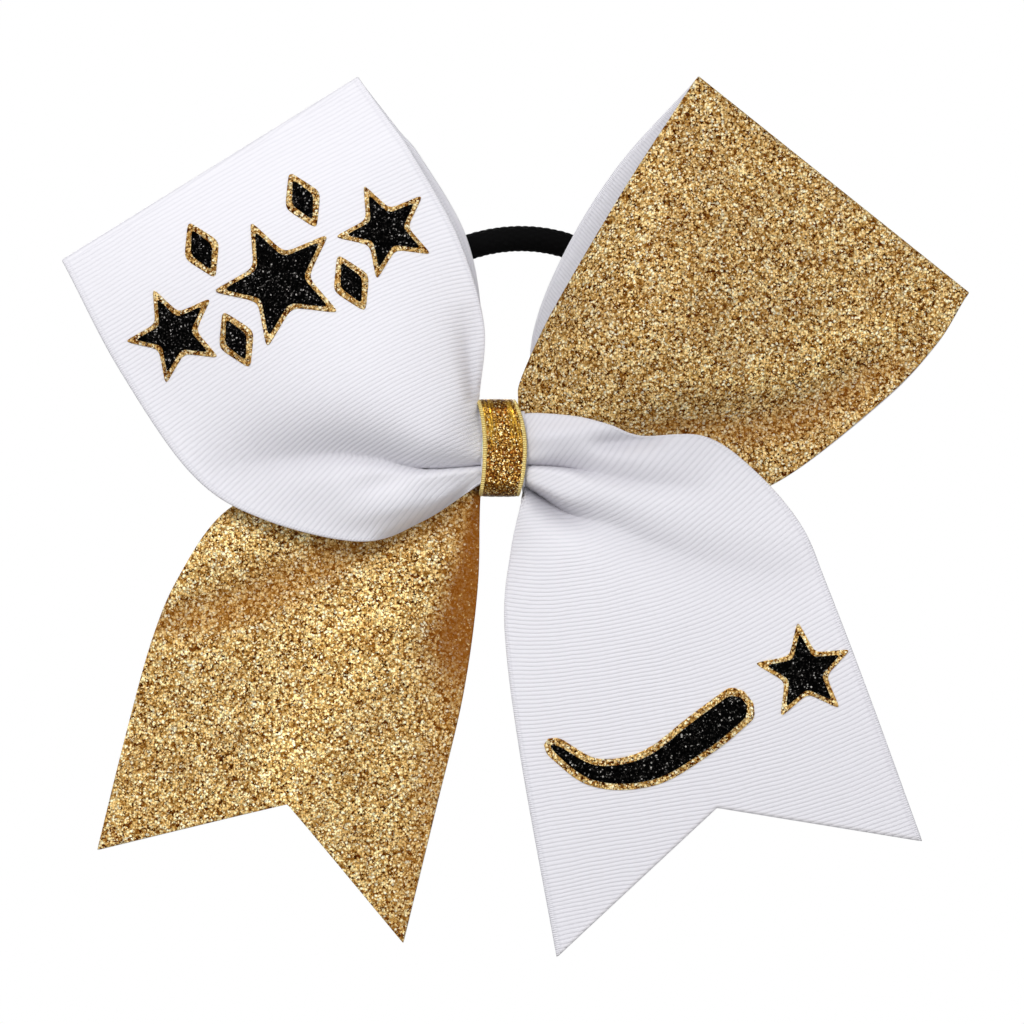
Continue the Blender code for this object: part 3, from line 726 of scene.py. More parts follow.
def loop_right_grid():
    front_low = [
        (INNER_X, MIDDLE, -6.6), (ROOT_X, MIDDLE, -7.6), (20, MIDDLE - 0.6, -11.5),
        (40, MIDDLE - 1.2, -11.5), (56.6, MIDDLE - 1.4, -6.4), (78, MIDDLE - 0.8, 10),
        (88.8, MIDDLE - 0.4, 21.5), (94.6, CREASE_FRONT, 30.9)]
    front_high = [
        (INNER_X - 0.4, MIDDLE, 5), (INNER_X, MIDDLE - 0.2, 10.4), (4, MIDDLE - 0.6, 14.4),
        (8.6, MIDDLE - 1.6, 24.5), (13.7, MIDDLE - 2.6, 33.8), (23.8, MIDDLE - 2.6, 51),
        (30.6, MIDDLE - 1.6, 62), (39.2, CREASE_FRONT, 75.2)]
    back_low = [
        (INNER_X, BACK, -6.4), (ROOT_X, BACK, -6.8), (26, BACK + 1.2, -4.5), (56, BACK + 1.4, 1.5),
        (82, BACK - 0.6, 17), (94.6, CREASE_BACK, 30.9)]
    back_high = [
        (INNER_X, BACK, 6), (ROOT_X, BACK, 7.6), (6.3, BACK + 1, 24), (13, BACK + 1.2, 41),
        (24, BACK - 0.2, 58.5), (39.2, CREASE_BACK, 75.2)]
    front = layer(front_low, front_high, FRONT_ROWS - 1, lambda v: 9.5 * np.sin(pi * v) ** 1.6, 1.7)
    push = fold(front, [
        (22, 3, 0, 2.5, 3), (34, 5.5, 1.6, 4, 5), (47.6, 5.2, 3, 5.5, 5.5), (60.9, 8, 3.4, 6, 6),
        (75, 16, 2.2, 5.5, 6), (88, 26, 0, 4, 5)])
    front[:, :, 1] += push
    # Painted shade in the film's valleys and painted light on its ridges.
    painted_shading = fold(front, [
        (20, 3, 0, 3, 3), (29, 5, 0.5, 3, 4), (48, 4.4, 0.8, 3.5, 4.5), (61, 7, 0.8, 3.5, 5),
        (77, 16, 0.6, 3.5, 5), (86, 24, 0.2, 3, 4)])
    painted_shading -= fold(front, [
        (28, 12, 0.2, 5, 4), (33, 14, 0.4, 5, 4), (55, 15, 0.6, 5, 4), (71, 22, 0.6, 5, 4),
        (87, 29, 0.4, 4, 4)])
    return closed_loop(front, back_low, back_high, (0.62, 0.0, 0.78), 98.0, painted_shading)


def tail_left_grid():
    outer_edge = [
        (-INNER_X, MIDDLE, 4.8), (-ROOT_X, MIDDLE, 5.5), (-22, MIDDLE, -1), (-42, MIDDLE, -6),
        (-57, MIDDLE + 0.4, -13), (-66.6, MIDDLE + 0.8, -26.5), (-72, MIDDLE + 1.4, -39.2),
        (-78, MIDDLE + 2, -61), (-83.2, MIDDLE + 1, -82.2)]
    inner_edge = [
        (-INNER_X, MIDDLE, -7.4), (-4.9, MIDDLE, -8.8), (-5.3, MIDDLE - 1.2, -28),
        (-8.2, MIDDLE - 2.4, -50), (-13.9, MIDDLE - 2.4, -74), (-20.5, MIDDLE - 1, -101.1)]
    grid = layer(outer_edge, inner_edge, 170, lambda v: 2.5 * np.sin(pi * v**0.8))
    push = fold(grid, [
        (-70, -36, 0.6, 4, 5), (-60, -33, 1.8, 4.5, 6), (-46, -27.5, 2.2, 5, 7),
        (-30, -22, 2, 5, 7), (-14, -16, 1.2, 4, 6), (-6, -13, 0, 3, 4)])
    push -= fold(grid, [
        (-28, -30, 0, 5, 5), (-32, -38, 1.2, 8, 8), (-36, -52, 1.8, 9, 9), (-43, -68, 1.4, 9, 9),
        (-48, -84, 0.6, 8, 8)])
    grid[:, :, 1] += push
    # Painted shade in the film's valleys and painted light on its ridges.
    painted_shading = fold(grid, [
        (-72, -36, 0.6, 4, 5), (-60, -33, 1, 4.5, 6), (-46, -27.5, 1, 5, 7), (-30, -20, 0.8, 5, 6),
        (-14, -14.5, 0.7, 4, 5), (-6, -12, 0.5, 3, 4)])
    painted_shading += fold(grid, [
        (-6.5, -14, 0.7, 4, 6), (-7.5, -30, 0.8, 5, 7), (-10, -50, 0.7, 5, 8),
        (-15, -72, 0.6, 5, 8), (-21, -95, 0.5, 5, 8)])
    painted_shading -= fold(grid, [
        (-21, -25, 0.3, 6, 6), (-29, -37, 0.8, 7, 7), (-35.5, -47, 0.9, 7, 7),
        (-40.6, -57.6, 1, 8, 8), (-43, -70, 0.8, 8, 8)])
    painted_shading -= fold(grid, [(-62, -20, 0.6, 4, 5), (-55, -18, 0.8, 4, 5), (-46, -15, 0.6, 4, 4)])
    return grid, 104.0, painted_shading


def tail_right_grid():
    inner_edge = [
        (INNER_X, FRONT - 0.4, -6.6), (4.2, FRONT - 0.6, -8.4), (3.7, FRONT - 0.8, -11.5),
        (1.6, FRONT - 1, -21.5), (0.4, FRONT - 2, -36), (3.5, FRONT - 2, -61.7),
        (11.1, FRONT + 1, -103.9)]
    outer_edge = [
        (INNER_X, FRONT - 0.4, 6.2), (ROOT_X, FRONT - 0.6, 7.2), (14.4, FRONT - 2.4, 6.6),
        (21.5, FRONT - 4.2, 4.9), (28, FRONT - 5.4, 2.6), (41, FRONT - 6.4, 2.4),
        (51.3, FRONT - 6.4, -4.7), (60.6, FRONT - 5.6, -15.6), (66, FRONT - 4.4, -28),
        (74.5, FRONT - 3, -50), (85.7, FRONT + 1, -80.2)]
    grid = layer(inner_edge, outer_edge, 170, lambda v: 2.5 * np.sin(pi * v**0.8))
    # Three lobes come out of the knot one below another, with a thin dark line under each.
    push = fold(grid, [
        (3.2, -3.4, 1.6, 0.6, 0.3), (5.1, -3.4, 2.2, 0.9, 0.4), (8.6, -3.5, 2.8, 1.5, 0.5),
        (13.7, -4, 3.2, 2.8, 0.8), (20, -5.2, 2.4, 3.6, 1.8), (27, -6.6, 1.8, 3.4, 2.4),
        (34, -7.4, 1.2, 3.4, 2.8), (44, -8, 0, 4, 4)], 1.6)
    push += fold(grid, [
        (17, 0.8, 0, 1.6, 1.6), (22, 1.2, 1.8, 1.8, 2.2), (28, 1.6, 1.6, 1.8, 2.2),
        (34, 1.4, 0, 2, 2.4)])
    push += fold(grid, [
        (3.4, -6.7, 2, 0.4, 0.9), (4.9, -7.8, 4, 0.6, 1.7), (7.6, -9.5, 6, 0.9, 2.7),
        (10.6, -11.6, 5.8, 1.3, 3.2), (13.7, -13.4, 4.6, 2, 3.2), (17.5, -14.4, 3.2, 2.8, 3.8),
        (22, -15.6, 2.4, 3.4, 4.8), (32, -19.8, 2, 4.4, 6), (44.5, -23.6, 1.5, 6, 7),
        (56, -25.6, 0.8, 6, 7), (66, -26.6, 0, 6, 7)], 1.6)
    line = fold(grid, [
        (3.2, -3.4, 1, 0.3, 0.3), (8.6, -3.5, 1, 0.3, 0.3), (13.7, -4, 0.7, 0.35, 0.35),
        (19, -5, 0, 0.5, 0.5)])
    line += fold(grid, [
        (3.4, -6.7, 1, 0.3, 0.3), (7.6, -9.5, 1, 0.3, 0.3), (12, -12.4, 0.7, 0.35, 0.35),
        (17.5, -14.4, 0, 0.5, 0.5)])
    # Painted shade: darker in the folds and along the thin lines, and darker towards the upper edge.
    top = np.clip((grid[:, :, 2] + 16.0) / 18.0, 0.0, 1.0)
    top *= np.clip((70.0 - grid[:, :, 0]) / 30.0, 0.0, 1.0)
    shade = np.clip(push / FOLD_SHADE + 0.4 * line + 0.42 * top, 0.0, 1.0)
    push += line
    push -= fold(grid, [
        (3.6, 2.4, 0.6, 2.2, 2.2), (9, 2.6, 1.4, 2.6, 2.6), (16, 3.6, 0.8, 2.4, 2.4),
        (24, 5, 0, 2, 2)])
    grid[:, :, 1] += push
    return grid, 108.0, shade


def loop_strip(grid, length, ribs=None):
    """Strip places of a loop: the front layer, the turned end, then the back layer home again."""
    turn = grid.shape[0] - FRONT_ROWS - BACK_ROWS
    row_step = 0.4
    place = np.concatenate([
        np.linspace(0.0, length, FRONT_ROWS),
        length + np.arange(1, turn + 1) * row_step,
        length + (turn + 1) * row_step + np.linspace(0.0, length, BACK_ROWS),
    ])
    place = np.broadcast_to(place[:, None], grid.shape[:2]).copy()
    if ribs is not None:
        place[FRONT_ROWS:] += ribs[-1] - place[FRONT_ROWS - 1]
        place[:FRONT_ROWS] = ribs
    return strip_places(place)


LEFT_LOOP_CREASES = (
    ((-3.0, -3.4), (-5.5, -3.5), (-9.0, -3.8), (-17.0, -3.8), (-25.0, -2.2), (-33.5, -1.0), (-45.7, -1.6)),
)
LEFT_LOOP_RIBS = (
    (-70, 55, 30), (-52, 63, 31), (-36, 71, 31), (-78, 32, 31), (-58, 30, 31), (-38, 34, 29),
    (-24, 50, 26), (-13, 42, 18), (-6, 24, 8), (-6, 32, 8), (-12, 15, 19), (-5, 12, 10),
    (-18, 15, 23), (-28, 15, 25), (-22, 6, 26), (-12, 4, 25), (-42, 8, 29), (-60, 6, 31),
    (-70, 12, 33), (-46, -6, 46), (-34, -6, 46), (-40, -13, 50), (-28, -12, 54), (-18, -10, 55),
    (-12, -7, 46), (-8, -6, 42), (-60, -4, 42),
)
RIGHT_TAIL_CREASES = (
    ((3.2, -3.4), (5.1, -3.4), (8.6, -3.5), (13.7, -4.0), (20.0, -5.2)),
    ((3.4, -6.7), (4.9, -7.8), (7.6, -9.5), (10.6, -11.6), (13.7, -13.4), (17.5, -14.4), (22.0, -15.6)),
)
RIGHT_TAIL_RIBS = (
    (6, 1, 62), (10, 1, 60), (15, 1, 58), (21, 1, 53), (30, -1, 44), (37, 0, 42), (46, -4, 39),
    (9, -6, 28), (15, -8, 26), (20, -9, 28), (26, -10, 28), (32, -11, 30), (38, -12, 34),
    (47, -12, 37), (55, -16, 36), (46, -20, 34), (53, -23, 33), (58, -24, 32), (58, -35, 28),
    (9, -16, -14), (5, -21, -20), (10, -22, -12), (6, -27, -12), (11, -27, -7), (16, -28, -3),
    (5, -34, -8), (16, -35, -1), (26, -22, 2), (26, -30, 10), (31, -27, 14), (37, -32, 17),
    (42, -32, 22), (48, -30, 24), (53, -30, 25), (26, -37, 7), (37, -38, 14), (47, -38, 24),
    (5, -42, -2), (16, -42, 3), (26, -43, 7), (37, -43, 12), (47, -43, 18), (56, -43, 26),
    (5, -48, 1), (26, -50, 9), (42, -50, 15), (66, -40, 28), (66, -60, 24), (60, -66, 21),
    (73, -66, 22), (78, -74, 22), (20, -62, 7), (36, -60, 11), (10, -75, 11), (20, -75, 11),
    (30, -75, 11), (15, -90, 12),
)


def add_wing(wing, grid, side, strip, cut, shade, white, gold=None):
    """A wing's ribbon and, with gold, the film on its outside.

    The shade goes to the layer that shows: to the film if there is one, otherwise to the ribbon.
    """
    layers = [("ribbon_cloth", "ribbon", "white_grosgrain", white, -RIBBON_HALF, RIBBON_HALF)]
    if gold:
        low = RIBBON_HALF + FILM_GAP
        layers.append(("glitter_film", "glitter", "gold_glitter", gold, low, low + VINYL))
    made = []
    for piece, node, slot, look, low, high in layers:
        shown = shade if node == layers[-1][1] else None
        obj = thin_solid(f"{wing}_{piece}", grid, side, low, high, look, strip, cut, shown)
        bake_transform(obj)
        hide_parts(f"{wing}_{node}")
        made.append(obj)
    return made


def build_wings(white, gold):
    """The four wings' pieces, by wing, and the front grids that carry motifs."""
    made, carriers = {}, {}

    grid, length, shade = loop_left_grid()
    carriers["loop_left"] = grid[:FRONT_ROWS]
    strip = loop_strip(grid, length, rib_places(grid[:FRONT_ROWS], LEFT_LOOP_RIBS, LEFT_LOOP_CREASES))
    far = np.full(grid.shape[:2], FAR_FROM_CUT)
    made["loop_left"] = add_wing("loop_left", grid, 1, strip, far, shade, white)

    grid, length, painted_shading = loop_right_grid()
    made["loop_right"] = add_wing("loop_right", grid, -1, loop_strip(grid, length), far, painted_shading,
                                  white, gold)

    grid, length, painted_shading = tail_left_grid()
    grid, kept, from_cut = notch(grid, (-44.1, -72.6))
    made["tail_left"] = add_wing("tail_left", grid, -1, strip_places(kept * length),
                                 from_cut * length, regrid(painted_shading, kept), white, gold)

    grid, length, shade = tail_right_grid()
    grid, kept, from_cut = notch(grid, (43.7, -73.2))
    carriers["tail_right"] = grid
    strip = strip_places(rib_places(grid, RIGHT_TAIL_RIBS, RIGHT_TAIL_CREASES))
    made["tail_right"] = add_wing("tail_right", grid, -1, strip, from_cut * length,
                                  regrid(shade, kept), white)
    return made, carriers


def attach(obj, body, node):
    """A piece that moves with one body and takes a CAD node's place."""
    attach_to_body(obj, body)
    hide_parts(node)
    return obj


# ---------------------------------------------------------------- motifs pressed on the ribbon

OUTLINE_MARGIN = 1.3
BLOCK_CENTRE = np.array((-45.5, 34.0))
BLOCK_TILT = radians(-26.0)


def polygon(centre, reaches, turn):
    """Corners at even turns round a centre, as far from it as the reaches say."""
    angles = turn + np.arange(len(reaches)) * 2 * pi / len(reaches)
    reaches = np.array(reaches)
    return np.column_stack([centre[0] + reaches * np.sin(angles), centre[1] + reaches * np.cos(angles)])


def star(centre, radius, turn):
    return polygon(centre, [radius, radius * 0.42] * 5, turn)


def diamond(centre, half_long, half_short, turn):
    return polygon(centre, [half_long, half_short] * 2, turn)


def softened(corners, steps, passes):
    """A closed outline with steps points an edge, its corners rounded by averaging."""
    share = np.linspace(0.0, 1.0, steps, endpoint=False)[:, None]
    after = np.roll(corners, -1, axis=0)
    line = np.vstack([a * (1 - share) + b * share for a, b in zip(corners, after)])
    for _ in range(passes):
        line = (np.roll(line, 1, axis=0) + 2 * line + np.roll(line, -1, axis=0)) / 4
    return line


def filled(line, rings):
    """Points and faces that fill an outline in rings about its middle, and its rim's indices."""
    middle = line.mean(axis=0)
    count = len(line)
    points = [middle[None, :]]
    points += [middle + (line - middle) * ring / rings for ring in range(1, rings + 1)]
    faces = []
    for here in range(count):
        after = (here + 1) % count
        faces.append((0, 1 + here, 1 + after))
        for ring in range(rings - 1):
            inner, outer = 1 + ring * count, 1 + (ring + 1) * count
            faces.append((inner + here, outer + here, outer + after, inner + after))
    return np.vstack(points), faces, 1 + (rings - 1) * count + np.arange(count)


def flat_star_shape(centre, radius, margin, turn):
    return filled(softened(star(centre, radius + margin * 1.9, turn), 18, 10), 22)


def trail(route, half_widths, margin):
    """Points and faces of a curved trail with rounded ends, and its rim's indices."""
    steps, columns = 90, 12
    middle = smooth_curve(route, steps)
    widths = smooth_curve(np.column_stack([np.arange(len(half_widths)), half_widths]), steps)[:, 1]
    heading = np.gradient(middle, axis=0)
    heading /= np.linalg.norm(heading, axis=1, keepdims=True)
    from_end = np.minimum(np.arange(steps), np.arange(steps)[::-1]) / 5.0
    widths = (widths + margin) * np.sqrt(1 - np.clip(1 - from_end, 0.0, 0.93) ** 2)
    middle = middle + heading * np.linspace(-margin, margin, steps)[:, None]
    square = np.column_stack([-heading[:, 1], heading[:, 0]])
    across = np.linspace(-1.0, 1.0, columns + 1)
    grid = middle[:, None, :] + square[:, None, :] * (widths[:, None] * across)[:, :, None]
    index, quads = grid_faces(steps, columns + 1)
    rim = rim_indices(steps, columns + 1)
    return grid.reshape(-1, 2), [tuple(q) for q in quads], index[rim[:, 0], rim[:, 1]]


def surface_tree(grid):
    return BVHTree.FromPolygons(grid.reshape(-1, 3).tolist(), grid_faces(*grid.shape[:2])[1].tolist())


def pressed(name, flat, tree, low, high, material):
    """Lays a flat shape on a ribbon's front as a thin solid between two heights off its surface."""
    points, faces, rim = flat
    on, normals = [], []
    for x, z in points:
        hit, normal, _, _ = tree.ray_cast(Vector((x, -80.0, z)), Vector((0.0, 1.0, 0.0)))
        on.append(np.array(hit))
        normals.append(np.array(normal) * (-1.0 if normal.y > 0 else 1.0))
    on, normals = np.array(on), np.array(normals)
    middle = on.mean(axis=0)
    out = on[rim] - middle
    out -= normals[rim] * (out * normals[rim]).sum(axis=1, keepdims=True)
    out /= np.linalg.norm(out, axis=1, keepdims=True)
    count = len(on)
    shoulder = on[rim] + normals[rim] * (high - 0.10) + out * 0.10
    foot = on[rim] + normals[rim] * low + out * 0.12
    ring = 2 * count + np.arange(len(rim))
    after = np.roll(np.arange(len(rim)), -1)
    sides = []
    for upper, lower in ((rim, ring), (ring, ring + len(rim)), (ring + len(rim), rim + count)):
        sides += list(zip(upper, lower, lower[after], upper[after]))
    faces = faces + [tuple(i + count for i in face[::-1]) for face in faces] + sides
    faces = [tuple(int(i) for i in face) for face in faces]
    return add_mesh(name, np.vstack([on + normals * high, on + normals * low, shoulder, foot]), faces,
                    material)


def motif(name, shape, tree, wing, gold, black):
    """A gold outline piece and its black top piece, as shape(margin) draws them."""
    parts = []
    for part, margin, low, high, look, slot in (
        ("outline", OUTLINE_MARGIN, 0.0, 0.28, gold, "gold_glitter"),
        ("top", 0.0, 0.22, 0.56, black, "black_glitter"),
    ):
        flat = shape(margin)
        obj = pressed(f"{name}_{part}_film", flat, tree, RIBBON_HALF + low, RIBBON_HALF + high, look)
        parts.append(attach(obj, wing, f"{name}_{part}"))
    return parts


def build_motifs(carriers, gold, black):
    along = np.array((cos(BLOCK_TILT), -sin(BLOCK_TILT)))
    up = np.array((sin(BLOCK_TILT), cos(BLOCK_TILT)))
    tree = surface_tree(carriers["loop_left"])
    left = []
    for name, place, radius in (("left", -24.0, 8.0), ("middle", 0.0, 11.5), ("right", 24.0, 8.0)):
        centre = BLOCK_CENTRE + along * place

        def flat_star(margin, centre=centre, radius=radius):
            return flat_star_shape(centre, radius, margin, BLOCK_TILT)

        left += motif(f"star_{name}", flat_star, tree, "loop_left", gold, black)
    for name, place, rise in (("upper_left", -11.5, 13.0), ("upper_right", 11.5, 13.0),
                              ("lower_left", -13.0, -6.8), ("lower_right", 13.0, -6.8)):
        centre = BLOCK_CENTRE + along * place + up * rise

        def flat_diamond(margin, centre=centre):
            corners = diamond(centre, 4.6 + margin * 1.5, 2.3 + margin * 1.2, BLOCK_TILT)
            return filled(softened(corners, 16, 8), 8)

        left += motif(f"diamond_{name}", flat_diamond, tree, "loop_left", gold, black)

    tree = surface_tree(carriers["tail_right"])
    route = ((10.0, -60.5), (19.0, -66.0), (30.0, -65.0), (40.0, -58.5), (49.0, -51.5))

    def flat_trail(margin):
        return trail(route, (0.7, 1.7, 2.6, 3.1, 2.7), margin)

    def flat_comet(margin):
        return flat_star_shape((61.5, -45.5), 8.0, margin, radians(-8.0))

    right = motif("comet_trail", flat_trail, tree, "tail_right", gold, black)
    right += motif("comet_star", flat_comet, tree, "tail_right", gold, black)
    return left, right


# ---------------------------------------------------------------- knot, band and elastic

def tube_solid(name, outer, inner, material, strip):
    """A closed solid between two grids of (around, across) points that wrap round in their rows."""
    around, across = outer.shape[:2]
    index = np.arange(around * across).reshape(around, across)
    after = np.roll(index, -1, axis=0)
    count = around * across
    faces = np.stack([index[:, :-1], index[:, 1:], after[:, 1:], after[:, :-1]], axis=-1).reshape(-1, 4)
    sides = np.vstack([
        np.column_stack([index[:, 0], after[:, 0], after[:, 0] + count, index[:, 0] + count]),
        np.column_stack([index[:, -1], index[:, -1] + count, after[:, -1] + count, after[:, -1]]),
    ])
    faces = np.vstack([faces, faces[:, ::-1] + count, sides])
    flat = strip.reshape(-1, 2)
    return add_mesh(name, np.vstack([outer.reshape(-1, 3), inner.reshape(-1, 3)]), faces.tolist(),
                    material, np.vstack([flat, flat]))


def rounded_path(half_y, half_z, radius, count):
    """count even points round a rounded rectangle in Y and Z, from the middle of its back, and normals."""
    corners = []
    for side_y, side_z, start in ((1, 1, 0.0), (-1, 1, pi / 2), (-1, -1, pi), (1, -1, 3 * pi / 2)):
        for angle in start + np.linspace(0.0, pi / 2, 13):
            corners.append((side_y * (half_y - radius) + radius * cos(angle),
                            side_z * (half_z - radius) + radius * sin(angle)))
    line = np.array([(half_y, 0.0)] + corners + [(half_y, 0.0)])
    lengths = lengths_along(line)
    wanted = np.linspace(0.0, lengths[-1], count, endpoint=False)
    points = np.column_stack([np.interp(wanted, lengths, axis) for axis in line.T])
    heading = np.roll(points, -1, axis=0) - np.roll(points, 1, axis=0)
    normal = np.column_stack([heading[:, 1], -heading[:, 0]])
    return points, normal / np.linalg.norm(normal, axis=1, keepdims=True), wanted


def build_band(material):
    """The centre ribbon: one turn round the knot, its edges bowed, lapped over itself at the back."""
    half_y, half_z = (band_high[1] - band_low[1]) / 2, (band_high[2] - band_low[2]) / 2
    centre_y = (band_high[1] + band_low[1]) / 2
    around, across = 320, 44
    path, normal, length = rounded_path(half_y - 0.3, half_z + 0.1, 3.6, around)
    share = np.linspace(-1.0, 1.0, across + 1)
    height = path[:, 1] / half_z
    drift = 0.4 - np.where(height > 0, 1.7, 1.1) * height**2
    half_width = 4.5 - np.where(height > 0, 0.5, 0.3) * height**2
    outer = np.empty((around, across + 1, 3))
    outer[:, :, 0] = drift[:, None] + half_width[:, None] * share
    ridge = 0.10 * np.cos(np.clip((np.abs(share) - 0.93) / 0.07, -1.0, 1.0) * pi)
    weave = 0.05 * np.sin(length[:, None] * 2.1 + 3.0 * np.sin(share * 5.0)) * np.cos(share * 8.0)
    lap = np.where(length > length[-1] - 6.0, 0.30, 0.0)[:, None]
    off = 0.08 + ridge + weave - 0.35 * (share**6) + lap
    outer[:, :, 1] = centre_y + path[:, None, 0] + normal[:, None, 0] * off
    outer[:, :, 2] = 0.25 + path[:, None, 1] + normal[:, None, 1] * off
    inner = outer.copy()
    inner[:, :, 1] -= normal[:, None, 0] * 0.55
    inner[:, :, 2] -= normal[:, None, 1] * 0.55
    strip = np.stack([np.broadcast_to((share + 1) * 4.75, (around, across + 1)),
                      np.broadcast_to(length[:, None], (around, across + 1))], axis=-1)
    band = tube_solid("centre_band_ribbon", outer, inner, material, strip)
    attach(band, "knot", "centre_band")


def build_knot(material):
    """The gathered ribbon inside the band: pleats front and back, folded layers showing at its ends."""
    low, high = knot_low, knot_high
    centre = (low + high) / 2
    half = (high - low) / 2
    around = 240
    path, normal, length = rounded_path(half[1], half[2], 1.8, around)
    pleat = 0.28 * (np.abs(np.sin(path[:, 1] * pi / 2.6)) - 1.0) * np.abs(normal[:, 0])
    path = path + normal * pleat[:, None]
    stations = np.linspace(-1.0, 1.0, 33)
    rows = []
    for x in stations:
        rows.append(np.column_stack([
            np.full(around, centre[0] + half[0] * x),
            centre[1] + path[:, 0] * (1 - 0.03 * (1 - x * x)),
            centre[2] + path[:, 1] * (1 - 0.03 * (1 - x * x)),
        ]))
    grid = np.array(rows)
    count = around * len(stations)
    index = np.arange(count).reshape(len(stations), around)
    after = np.roll(index, -1, axis=1)
    faces = np.stack([index[:-1], index[1:], after[1:], after[:-1]], axis=-1).reshape(-1, 4).tolist()
    points = [grid.reshape(-1, 3)]
    lengths, across = np.meshgrid(length, stations * half[0])
    strips = [np.column_stack([lengths.ravel(), across.ravel()])]
    rings = 14
    for side, edge in ((-1, index[0]), (1, index[-1])):
        previous = edge
        for ring in range(1, rings):
            shrink = 1 - ring / rings
            y, z = path[:, 0] * shrink, path[:, 1] * shrink
            folds = 0.30 * np.abs(np.sin(y * pi / 1.3 + 0.6 * np.sin(z * 0.9))) - 0.30
            x = centre[0] + side * (half[0] + folds * min(1.0, ring / 2))
            here = count + np.arange(around)
            points.append(np.column_stack([x, centre[1] + y, centre[2] + z]))
            strips.append(np.column_stack([y, z]))
            after_here = np.roll(here, -1)
            faces += np.column_stack([previous, here, after_here, np.roll(previous, -1)]).tolist()
            previous = here
            count += around
        faces.append(previous.tolist())
    bundle = add_mesh("knot_gathers_cloth", np.vstack(points), faces, material, np.vstack(strips))
    attach(bundle, "knot", "knot_gathers")


def build_elastic(material):
    """One closed braided ring that leans back from the band."""
    around, count = 48, 900
    radius, half_width, half_height, seat = 2.65, 27.0, 23.5, 0.4
    angle = np.arange(count) * 2 * pi / count
    rise = half_height * (1 - np.cos(angle)) - seat
    rise = (rise + np.sqrt(rise**2 + 0.16)) / 2
    x = half_width * np.sin(angle) + 3.7 * (1 - np.cos(angle)) / 2
    lean = radians(18.0)
    middle = np.column_stack([x, -3.75 + rise * sin(lean), rise * cos(lean)])
    heading = np.roll(middle, -1, axis=0) - np.roll(middle, 1, axis=0)
    heading /= np.linalg.norm(heading, axis=1, keepdims=True)
    flat = np.array((0.0, cos(lean), -sin(lean)))
    side = np.cross(flat, heading)
    lengths = lengths_along(middle)
    turn = np.arange(around) * 2 * pi / around
    strand = np.abs(np.sin(6 * turn[None, :] + lengths[:, None] * 1.1))
    strand = strand * np.abs(np.sin(6 * turn[None, :] - lengths[:, None] * 1.1))
    reach = radius - 0.16 + 0.22 * strand
    spoke = (side[:, None, :] * np.cos(turn)[None, :, None] + flat * np.sin(turn)[None, :, None])
    points = middle[:, None, :] + spoke * reach[:, :, None]
    index = np.arange(count * around).reshape(count, around)
    down, over = np.roll(index, -1, axis=0), np.roll(index, -1, axis=1)
    both = np.roll(down, -1, axis=1)
    faces = np.stack([index, down, both, over], axis=-1).reshape(-1, 4).tolist()
    strip = np.stack([np.broadcast_to(turn * radius, (count, around)),
                      np.broadcast_to(lengths[:, None], (count, around))], axis=-1)
    ring = add_mesh("hair_elastic_braid", points.reshape(-1, 3), faces, material, strip.reshape(-1, 2))
    attach(ring, "elastic", "hair_elastic")


def braid(name):
    """Black braided cover: fine crossing yarns over the ring's modelled strands."""
    shader = Shader(name, 0.7, Specular_IOR_Level=0.06)
    u, v = shader.strip()
    yarns = []
    for sign in ("ADD", "SUBTRACT"):
        line = shader.math(sign, shader.times(u, 7.5), shader.times(v, 7.5))
        yarns.append(shader.wave(line))
    knit = shader.math("MAXIMUM", yarns[0], yarns[1])
    fuzz = shader.noise(shader.attribute("rest"), 6.0, 4.0, 0.7)
    height = shader.times_plus(fuzz, 0.4, knit)
    shader.link(shader.bump(height, 0.00015, 0.8), "Normal")
    # Painted shade between the yarns: the crossings lighter, the gaps darker.
    colour = shader.mix(knit, (0.0003, 0.0003, 0.0003), (0.0022, 0.0022, 0.0024))
    colour = shader.mix(shader.times(fuzz, 0.25), colour, (0.005, 0.005, 0.0055))
    shader.link(colour, "Base Color")
    shader.link(shader.times_plus(fuzz, 0.3, 0.6), "Roughness")
    return shader.material


BAND_FLAKES = (
    (0.00, linear(40, 12, 0)),
    (0.15, linear(78, 36, 0)),
    (0.35, linear(104, 56, 6)),
    (0.55, linear(134, 82, 18)),
    (0.75, linear(178, 128, 48)),
    (0.90, linear(232, 194, 112)),
    (1.00, linear(255, 246, 200)),
)


